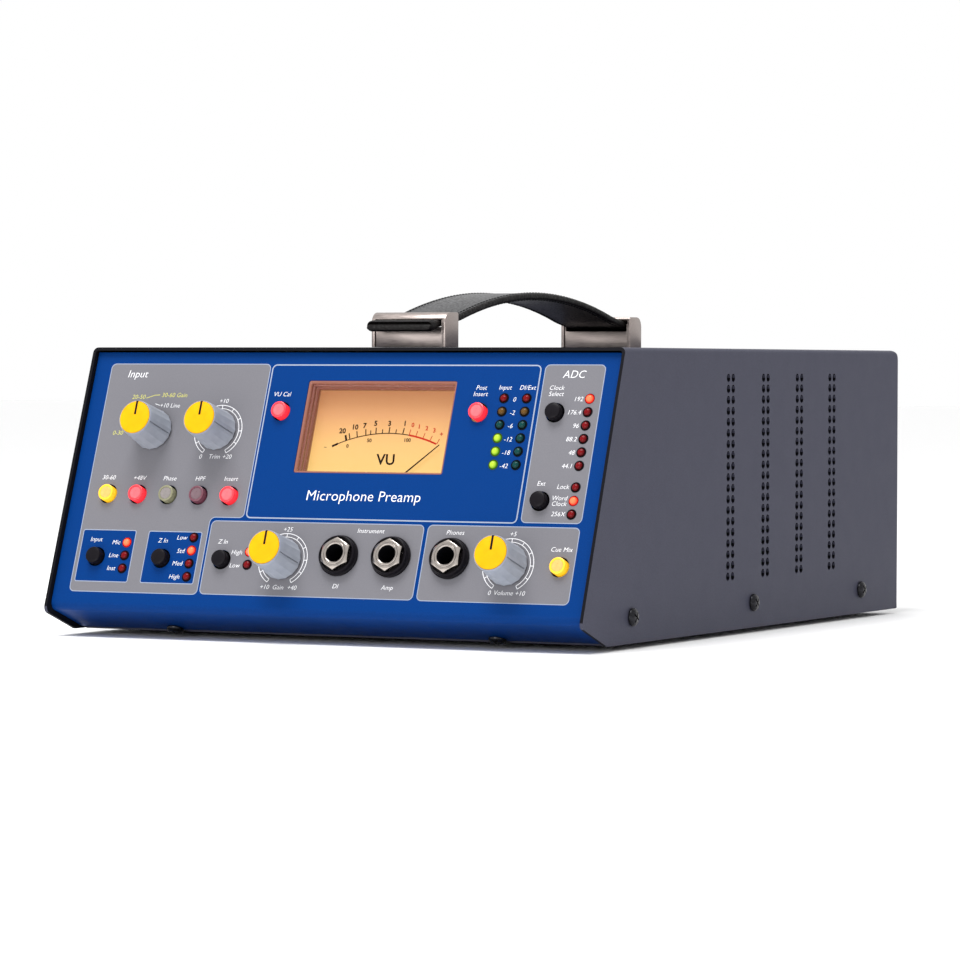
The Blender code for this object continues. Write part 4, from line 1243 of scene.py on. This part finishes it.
def knob_mesh():
    """A tapered body whose flats die out towards its rim, with a seam down one side."""
    base = [(6.6, 0.5, 0), (7.5, 0.5, 1.5), (7.75, 0.8, 1.5), (7.75, 1.5, 1.5), (7.62, 1.9, 1.6)]
    side = [(7.3, 6, 1.4), (7.0, 10, 1), (6.8, 12.4, 0.5), (6.6, 14.3, 0.1)]
    rim = [(6.5, 14.65, 0), (6.35, 14.75, 0), (6.22, 14.6, 0), (6.2, 12.9, 0)]
    seam = round(KNOB_SEAM_ANGLE / 360 * KNOB_SIDES) % KNOB_SIDES
    loops = []
    for radius, height, flatness in base + side + rim:
        loop = []
        for index in range(KNOB_SIDES):
            angle = 2 * math.pi * index / KNOB_SIDES
            reach = knob_radius(angle, radius, flatness)
            if index == seam and radius > 6.7 and height > 1:
                reach -= KNOB_SEAM_DEPTH
            loop.append((reach * math.cos(angle), reach * math.sin(angle), height))
        loops.append(loop)
    body = lofted(loops)
    # Faces along the seam take a darker grey: painted shade in the seam's groove.
    for face in body.polygons:
        angle = math.degrees(math.atan2(face.center.y, face.center.x))
        if abs(angle - KNOB_SEAM_ANGLE) < 1.5 and 1.2 < face.center.z < 13.5:
            face.material_index = 1
    return body


def build_knobs():
    body = finished(knob_mesh(), 25)
    shaft = finished(turned([(2.8, -12), (3, -11.7), (3, 0.45)], 40))
    cap = turned([(6, 13.2), (6.15, 13.3), (6.15, 14.8), (6.05, 14.95), (5.85, 15)], 72)
    notch = box_mesh((-0.45, 1, 14.7), (0.45, 8, 16))
    cap = finished(combined(cap, "DIFFERENCE", notch), 25)
    pointer = finished(box_mesh((-0.43, 1.02, 14.71), (0.43, 6.35, 14.9)))
    for name in KNOBS:
        knob, top = name + "_knob", name + "_cap"
        place = on_panel(*centre(knob))
        moving = name + "_control"
        piece(name + "_body", body, [KNOB_GREY, KNOB_SEAM_SHADE], moving, place, [knob])
        piece(name + "_shaft", shaft, [STEEL], moving, place, [knob])
        piece(name + "_cap_disc", cap, [CAP_YELLOW], moving, place, [top])
        piece(name + "_pointer", pointer, [SATIN_BLACK], moving, place, [top])


def build_buttons():
    rim = BUTTON_RADIUS
    stem = [(rim - 0.35, -7), (rim - 0.05, -6.8), (rim, 2)]
    dome = [(rim - 0.06, 2.45), (rim - 0.25, 2.72), (rim - 0.7, 2.88), (rim - 1.6, 2.96), (0.6, 3)]
    black = finished(turned(stem + dome, 64))
    for name in BLACK_BUTTONS:
        show(name, "cap", black, [SATIN_BLACK], on_panel(*button_centre(name)), name)
    inset = rim - 0.85
    ring = [(rim - 0.1, 2.2), (rim - 0.35, 2.3), (inset + 0.1, 2.3)]
    disc = [(inset, 2.12), (inset - 0.12, 2.12), (inset - 0.25, 2.24), (inset - 0.8, 2.3), (0.4, 2.3)]
    lit = turned(stem + ring + disc, 64)
    for face in lit.polygons:
        if face.center.z > 2.1 and Vector(face.center.xy).length < inset:
            face.material_index = 1
    finished(lit)
    for name, colour in LIT_BUTTONS.items():
        materials = [BUTTON_SIDES[colour], BUTTON_TOPS[colour]]
        place = on_panel(*button_centre(name))
        show(name, "lens", lit.copy(), materials, place, name)


def build_lamps():
    """Each bank is a holder strip, and its lamps by colour, each a dome in a collar."""
    dome = [(1.2, -3.95), (1.42, -3.9), (1.45, 0.05), (1.38, 0.35), (1.18, 0.65), (0.85, 0.86)]
    dome += [(0.45, 0.97), (0.1, 1)]
    collar = [(1.5, -3.9), (1.92, -3.9), (1.92, 0.12), (1.82, 0.22), (1.6, 0.22), (1.5, 0.1), (1.5, -3.9)]
    for bank in LAMP_COLUMNS:
        across, down, out = extent(bank)
        strip = box_mesh((across[0], -down[1], out[0]), (across[1], -down[0], -4))
        show(bank, "holder", finished(bevelled(strip, 0.3)), [DEEP_BLACK], PANEL)
        for colour in LENSES:
            places = lamp_places(bank)
            spots = [Matrix.Translation((x, -y, 0)) for x, y, shade in places if shade == colour]
            if not spots:
                continue
            parts = [(turned(dome, 32), spot) for spot in spots]
            for spot in spots:
                ring = turned(collar, 32)
                for face in ring.polygons:
                    face.material_index = 1
                parts.append((ring, spot))
            # A lit lamp's collar carries a painted halo; an unlit one is plain black.
            materials = [LENSES[colour], HALO_COLLARS.get(colour, DEEP_BLACK)]
            show(bank, colour, finished(joined(parts)), materials, PANEL)


def nut_mesh(flats, low, high, bore):
    """A hexagon nut with its corners chamfered; corners point along Y."""
    sides = 96
    inner = flats / 2

    def reach(angle):
        sector = math.pi / 3
        offset = (angle - math.pi / 6) % sector - sector / 2
        return inner / math.cos(offset)

    def loop(height, radius_at):
        steps = [2 * math.pi * index / sides for index in range(sides)]
        return [(radius_at(a) * math.cos(a), radius_at(a) * math.sin(a), height(radius_at(a))) for a in steps]

    chamfer = math.tan(math.radians(30))
    loops = [
        loop(lambda _: low, lambda _: bore),
        loop(lambda _: low, reach),
        loop(lambda radius: high - (radius - inner * 0.97) * chamfer, reach),
        loop(lambda _: high, lambda _: inner * 0.97),
        loop(lambda _: high, lambda _: bore),
    ]
    return lofted(loops, ring=True)


def build_jacks():
    """Each front socket has a black ring, a hexagon nut, a bush, and its shell behind the panel."""
    ring_top, nut_top, bore = 3, 4.2, 3.2
    washer = [(5.0, 0.1), (7.5, 0.1), (7.6, 0.25), (7.6, 1.1), (7.4, 1.35), (7.15, 1.4)]
    rim = [(7.15, -0.5), (7.0, -0.15), (6.75, 0), (6.5, -0.1), (6.35, -1.2), (5.0, -1.2)]
    ring = turned(washer + [(radius, ring_top + height) for radius, height in rim] + [(5.0, 0.1)], 72)
    nut = nut_mesh(10.6, ring_top - 1.15, nut_top, 4.35)
    lip = [(4.3, -0.1), (4.25, 0.1), (4.05, 0.25), (3.7, 0.25), (3.4, 0.05), (bore, -0.5)]
    lip = [(radius, nut_top + height) for radius, height in lip]
    bush = turned([(bore, -17), (4.3, -17)] + lip + [(bore, -17)], 64)
    # The bore's inner wall takes near-black plastic: painted shade down the hole.
    for face in bush.polygons:
        if Vector(face.center.xy).length < bore + 0.1 and face.center.z < nut_top:
            face.material_index = 1
    body = box_mesh((-6.5, -6.5, -20.8), (6.5, 6.5, -1.8))
    body = bevelled(combined(body, "DIFFERENCE", rod_mesh([(0, 0, 4.32, -17.05, 0)])), 0.3, 2, 50)
    plug = turned([(2.9, -16.9), (3.15, -16.8), (3.15, -16.2), (1.2, -16.1)], 32)
    kinds = (
        ("ring", finished(ring), [SATIN_BLACK]),
        ("nut", finished(nut, 20), [BRIGHT_NICKEL]),
        ("bush", finished(bush), [BRIGHT_NICKEL, DEEP_BLACK]),
        ("shell", finished(body), [SATIN_BLACK]),
        ("end", finished(plug), [STEEL]),
    )
    for name in JACKS:
        for kind, mesh, materials in kinds:
            show(name, kind, mesh, materials, on_panel(*centre(name)))


# ---------------------------------------------------------------- meter


def moulding(rectangle, profile):
    """A frame round a rectangle. Its section is (distance inside the rectangle, height), all round."""
    left, bottom, right, top = rectangle
    loops = []
    for inset, height in profile:
        radius = max(0.15, 0.8 - inset / 2)
        corners = rounded_rectangle(left + inset, bottom + inset, right - inset, top - inset, radius, 4)
        loops.append([(x, y, height) for x, y in corners])
    return lofted(loops, ring=True)


def build_meter():
    lip = [(0.1, -1.4), (0.1, -0.3), (0.25, -0.15), (0.5, -0.15), (0.65, -0.4), (0.95, -0.9), (1.05, -1.4)]
    ledges = [(0.8, -1.7), (0.8, -2.6), (1.2, -2.9), (1.2, -4.1), (0.85, -4.4), (0.85, -5.4), (1.2, -5.8)]
    outside = [(1.2, -7.85), (0.3, -7.85), (0.3, -1.6)]
    bezel = finished(moulding(WINDOW, lip + ledges + outside), 20)
    piece("meter_bezel", bezel, [METER_WALLS_PAINTED_LIGHT], "case", PANEL, ["meter_housing"])

    across, down, out = extent("meter_housing")
    shell = box_mesh((across[0], -down[1], out[0]), (across[1], -down[0], out[1]))
    low = (across[0] + SHEET, SHEET - down[1], out[0] + SHEET)
    high = (across[1] - SHEET, -SHEET - down[0], 1)
    shell = finished(bevelled(combined(shell, "DIFFERENCE", box_mesh(low, high)), 0.25, 2, 50))
    piece("meter_shell", shell, [METER_WALLS_PAINTED_LIGHT], "case", PANEL, ["meter_housing"])

    left, right = WINDOW_ACROSS
    top, bottom = WINDOW_DOWN
    margin = 0.7
    outline = rounded_rectangle(left + margin, -bottom + margin, right - margin, -top - margin, 0.5)
    pane = finished(prism(outline, -1.35, -1))
    piece("meter_pane", pane, [PANE], "case", PANEL, ["meter_window"])
    build_dial_print()
    build_needle()


def dial_angle(across):
    return math.degrees(math.asin((across - DIAL_CENTRE[0]) / DIAL_RADIUS))


def dial_tick(across, length, width, layer):
    angle = dial_angle(across)
    ends = [arc_points(DIAL_CENTRE, DIAL_RADIUS + reach, angle, angle, 1)[0] for reach in (0.1, length)]
    return stroke(*ends, width, layer)


def build_dial_print():
    layer = (0.02, 0.05)
    angles = [dial_angle(across) for across in (DIAL_START, DIAL_ZERO, DIAL_END)]
    black = [
        arc(DIAL_CENTRE, DIAL_RADIUS, 0.34, angles[0], angles[1], layer),
        arc(DIAL_CENTRE, DIAL_RADIUS, 0.8, angles[0], angles[0] + 2.8, (0.05, 0.08), 8),
        dial_tick(-1.2, 2.2, 0.8, layer),
    ]
    black += [dial_tick(across, 2.4, 0.42, layer) for across in DIAL_BLACK_TICKS]
    black += [dial_tick(across, 1.6, 0.36, layer) for across in DIAL_MINOR_TICKS]
    black += [printed(*words, 1.8, layer, -0.05, 0.035) for words in DIAL_BLACK_WORDS]
    black += [printed(*words, 1.3, layer, -0.05, 0.028) for words in DIAL_SMALL_WORDS]
    black.append(printed("VU", 16.6, 39.5, 3.9, layer, -0.1, 0.02))
    black.append(stroke((-9.9, 35.1), (-8.9, 35.1), 0.2, layer))
    face = on_panel(0, 0, DIAL_FACE)
    piece("dial_black_print", finished(joined(black)), [BLACK_INK], "case", face)
    red = [arc(DIAL_CENTRE, DIAL_RADIUS, 0.65, angles[1], angles[2], layer)]
    red += [dial_tick(across, 2.2, 0.28, (0.05, 0.08)) for across in DIAL_RED_TICKS]
    red += [printed(*words, 1.55, layer, -0.05, 0.028) for words in DIAL_RED_WORDS]
    piece("dial_red_print", finished(joined(red)), [RED_INK], "case", face)


def build_needle():
    """A thin blade on a hub. It is modelled upright and leans to its rest place."""
    offset = (Vector(JOINTS["needle_swing"]["pos_m"]) - ORIGIN) / MM
    across, down = offset.dot(ACROSS), offset.dot(DOWN)
    reach, drop, out = extent("meter_needle")
    tip = Vector((reach[1] - across, down - drop[0]))
    lean = math.atan2(tip.x, tip.y)
    length = tip.length - 0.3
    top = out[1]
    widths = [(-6, 0.7), (0, 0.34), (length, 0.12)]
    left = [(-width, y) for y, width in widths]
    right = [(width, y) for y, width in reversed(widths)]
    blade = lofted([[(x, y, top - 0.7 + z) for x, y in left + right] for z in (0, 0.3)])
    place = on_panel(across, down) @ Matrix.Rotation(-lean, 4, "Z")
    piece("needle_blade", finished(blade), [BLACK_INK], "needle", place, ["meter_needle"])
    hub = finished(turned([(1.8, out[0] + 0.1), (2, out[0] + 0.3), (2, top - 0.2), (1.7, top)], 40))
    piece("needle_hub", hub, [SATIN_BLACK], "needle", place, ["meter_needle"])


# ---------------------------------------------------------------- back


def on_back(node):
    """The middle of a node on the back face; local Z points backwards, and local Y up."""
    spot = middle_of(node)
    face = world_box("rear_panel")[1].y
    turn = Matrix(((-1, 0, 0), (0, 0, 1), (0, 1, 0))).to_4x4()
    return at(spot.x, face, spot.z, turn)


def flange(width, height, radius, thickness, openings):
    """A rounded plate with round openings, each (x, y, radius), and soft edges."""
    x, y = width / 2, height / 2
    plate = prism(rounded_rectangle(-x, -y, x, y, radius), GAP, GAP + thickness)
    cutters = rod_mesh([(x, y, size, -1, thickness + 2) for x, y, size in openings], 48)
    return bevelled(combined(plate, "DIFFERENCE", cutters), 0.25, 2, 50)


def build_audio_sockets():
    """An input socket with an insert and a latch, and an output socket with pins, each in its flange."""
    mouth, pin_circle = 9, 4
    barrel = [(10.8, -22), (11.5, -21.7), (11.5, 0.2), (10.9, 0.4), (10.9, 2.6), (10.5, 3.1), (9.4, 3.1)]
    barrel += [(mouth, 2.7), (mouth, -14), (0.5, -14)]
    turns = (0, math.pi, -math.pi / 2)
    pins = [(pin_circle * math.cos(turn), pin_circle * math.sin(turn)) for turn in turns]
    for node in ("microphone_input", "line_output"):
        place = on_back(node)
        show(node, "flange", finished(flange(26, 31, 3, 1.6, [(0, 0, 11)])), [SATIN_BLACK], place)
        show(node, "barrel", finished(turned(barrel, 72)), [GLOSS_BLACK], place)
        if node == "microphone_input":
            insert = turned([(8.8, -13.9), (8.8, -1.2), (8.5, -1)], 64)
            holes = rod_mesh([(x, y, 1.5, -12, 1) for x, y in pins])
            core = bevelled(combined(insert, "DIFFERENCE", holes), 0.15, 1, 50)
            show(node, "insert", finished(core), [SATIN_BLACK], place)
            tab = bevelled(box_mesh((-3, 10.95, 0.5), (3, 15, 3)), 0.5, 3)
            show(node, "latch", finished(tab), [STEEL], place)
        else:
            pin = [(1.1, -13.9), (1.2, -13.8), (1.2, -4.6), (0.9, -4.1), (0.3, -4)]
            rods = [(turned(pin, 24), Matrix.Translation((x, y, 0))) for x, y in pins]
            show(node, "pins", finished(joined(rods)), [BRIGHT_NICKEL], place)
        show_fixings(node, place, [(-9.5, 12, 1.9), (9.5, -12, 1.9)])


def small_screw():
    head = turned([(1.9, 0.02), (2, 0.2), (1.9, 0.6), (1.4, 0.95), (0.4, 1.05)], 32)
    return combined(head, "DIFFERENCE", cross_mesh(1.2, 0.2, 0.5, 2))


def show_fixings(node, place, spots):
    """The two screws that hold a flange."""
    heads = [(small_screw(), Matrix.Translation(spot)) for spot in spots]
    show(node, "fixings", finished(joined(heads)), [BLACK_STEEL], place)


def build_mains_inlet():
    """A three-blade inlet in its flange."""
    node = "mains_inlet"
    place = on_back(node)
    half, low, high = 12, -8, 8
    outline = [(-half, low), (half, low), (half, 3), (half - 5, high), (5 - half, high), (-half, 3)]
    shape = round_corners([(x, y, 1) for x, y in outline])
    body = prism(rounded_rectangle(-14, -10, 14, 10, 2), -22, GAP + 0.9)
    body = bevelled(combined(body, "DIFFERENCE", prism(shape, -15, 10)), 0.2, 2, 50)
    show(node, "body", finished(body), [SATIN_BLACK], place)
    plate = prism(rounded_rectangle(-25, -14, 25, 14, 4), GAP + 0.9, GAP + 1.9)
    screw_holes = rod_mesh([(x, 0, 1.7, -1, 5) for x in (-20, 20)])
    plate = combined(plate, "DIFFERENCE", prism(shape, -15, 10), screw_holes)
    show(node, "plate", finished(bevelled(plate, 0.2, 2, 50)), [SATIN_BLACK], place)
    blades = []
    for x, y in ((-7, -2), (0, 2), (7, -2)):
        blade = box_mesh((x - 1, y - 2, -14.9), (x + 1, y + 2, -4))
        blades.append((bevelled(blade, 0.4, 2), Matrix()))
    show(node, "blades", finished(joined(blades)), [BRIGHT_NICKEL], place)
    show_fixings(node, place, [(x, 0, 1.2) for x in (-20, 20)])


def build_power_switch():
    """A rocker with its marks, in a frame."""
    node = "power_switch_frame"
    place = on_back(node)
    frame_outer = prism(rounded_rectangle(-10.5, -7.5, 10.5, 7.5, 1.5), GAP, GAP + 1.6)
    room = prism(rounded_rectangle(-7.6, -5.6, 7.6, 5.6, 0.6), -8, 5)
    shell = combined(frame_outer, "UNION", box_mesh((-9.3, -6.3, -16), (9.3, 6.3, GAP + 0.5)))
    shell = bevelled(combined(shell, "DIFFERENCE", room), 0.25, 2, 50)
    show(node, "body", finished(shell), [SATIN_BLACK], place)

    node = "power_switch_rocker"
    place.translation = Vector(JOINTS["rocker_tip"]["pos_m"])
    place = place @ Matrix.Rotation(math.radians(8), 4, "Y")
    half, low, high = 7, 0.4, 1.2
    top = [(-half, high, 0.3), (0, low, 6), (half, high, 0.3)]
    corners = top + [(half - 1, -2.6, 0.5), (0, -5, 2), (1 - half, -2.6, 0.5)]
    outline = round_corners(corners)
    rocker = bevelled(lofted([[(x, y, z) for x, z in outline] for y in (-5, 5)]), 0.3, 2, 50)
    show(node, "paddle", finished(rocker, 40), [GLOSS_BLACK], place, "rocker")
    slope = math.atan2(high - low, half)
    under, over, spot = 0.86, 0.93, 4.2
    bar = box_mesh((-0.2, -1.6, under), (0.2, 1.6, over))
    ring = turned([(1.2, under), (1.6, under), (1.6, over), (1.2, over), (1.2, under)], 32)
    marks = [
        (bar, Matrix.Translation((-spot, 0, 0)) @ Matrix.Rotation(slope, 4, "Y")),
        (ring, Matrix.Translation((spot, 0, 0)) @ Matrix.Rotation(-slope, 4, "Y")),
    ]
    show(node, "marks", finished(joined(marks)), [WHITE_INK], place, "rocker")


def dress_cad_nodes():
    """Procedural finishes for the nodes that are shown as they are."""
    finishes = {
        "base_tray": SLATE,
        "rear_panel": SLATE,
        "meter_dial": DIAL_CARD,
        "front_circuit_board": board_finish(),
        "mains_transformer": winding_finish(),
    }
    finishes["main_circuit_board"] = finishes["front_circuit_board"]
    for node, material in finishes.items():
        for index in range(len(NODES[node].data.materials)):
            NODES[node].data.materials[index] = material


# ---------------------------------------------------------------- stage


def build_stage():
    floor = bpy.data.objects.new("floor", box_mesh((-9000, -9000, -20), (9000, 9000, 0)))
    floor.data.transform(Matrix.Scale(MM, 4))
    bpy.context.scene.collection.objects.link(floor)
    floor.data.materials.append(ink("pale_floor", (0.99, 0.99, 0.99), 0.7))


# Each light's name, place, target, size in metres and power in watts
LIGHTS = (
    ("overhead", (-0.1, -0.5, 1.3), (0, -0.05, 0.05), 0.7, 18),
    ("front", (-0.1, -1.3, 0.05), (0, -0.15, 0.02), 0.6, 5),
)
CAMERA_LENS = 161.1
CAMERA_PLACE = (0.7488, -1.4832, 0.0998)
CAMERA_TURN = (88.492, -0.134, 26.892)


def area_light(name, place, target, size, power):
    light = bpy.data.lights.new(name, "AREA")
    light.size = size
    light.energy = power
    obj = bpy.data.objects.new(name, light)
    obj.location = place
    direction = Vector(target) - Vector(place)
    obj.rotation_euler = direction.to_track_quat("-Z", "Y").to_euler()
    bpy.context.scene.collection.objects.link(obj)


def build_light():
    world = bpy.data.worlds.new("studio")
    world.use_nodes = True
    background = world.node_tree.nodes["Background"]
    background.inputs["Color"].default_value = (1, 1, 1, 1)
    background.inputs["Strength"].default_value = 1.0
    bpy.context.scene.world = world
    for light in LIGHTS:
        area_light(*light)


def build_camera():
    camera = bpy.data.cameras.new("camera")
    camera.lens = CAMERA_LENS
    camera.sensor_width = 36
    obj = bpy.data.objects.new("camera", camera)
    obj.location = CAMERA_PLACE
    obj.rotation_euler = [math.radians(angle) for angle in CAMERA_TURN]
    bpy.context.scene.collection.objects.link(obj)
    bpy.context.scene.camera = obj


build_cover()
build_front_panel()
build_printed_areas()
build_printed_words()
build_screws()
build_feet()
build_strap()
build_brackets()
build_knobs()
build_buttons()
build_lamps()
build_jacks()
build_meter()
build_audio_sockets()
build_mains_inlet()
build_power_switch()
dress_cad_nodes()
build_stage()
build_light()
build_camera()
bpy.context.scene.view_settings.view_transform = "Standard"

bpy.context.view_layer.update()
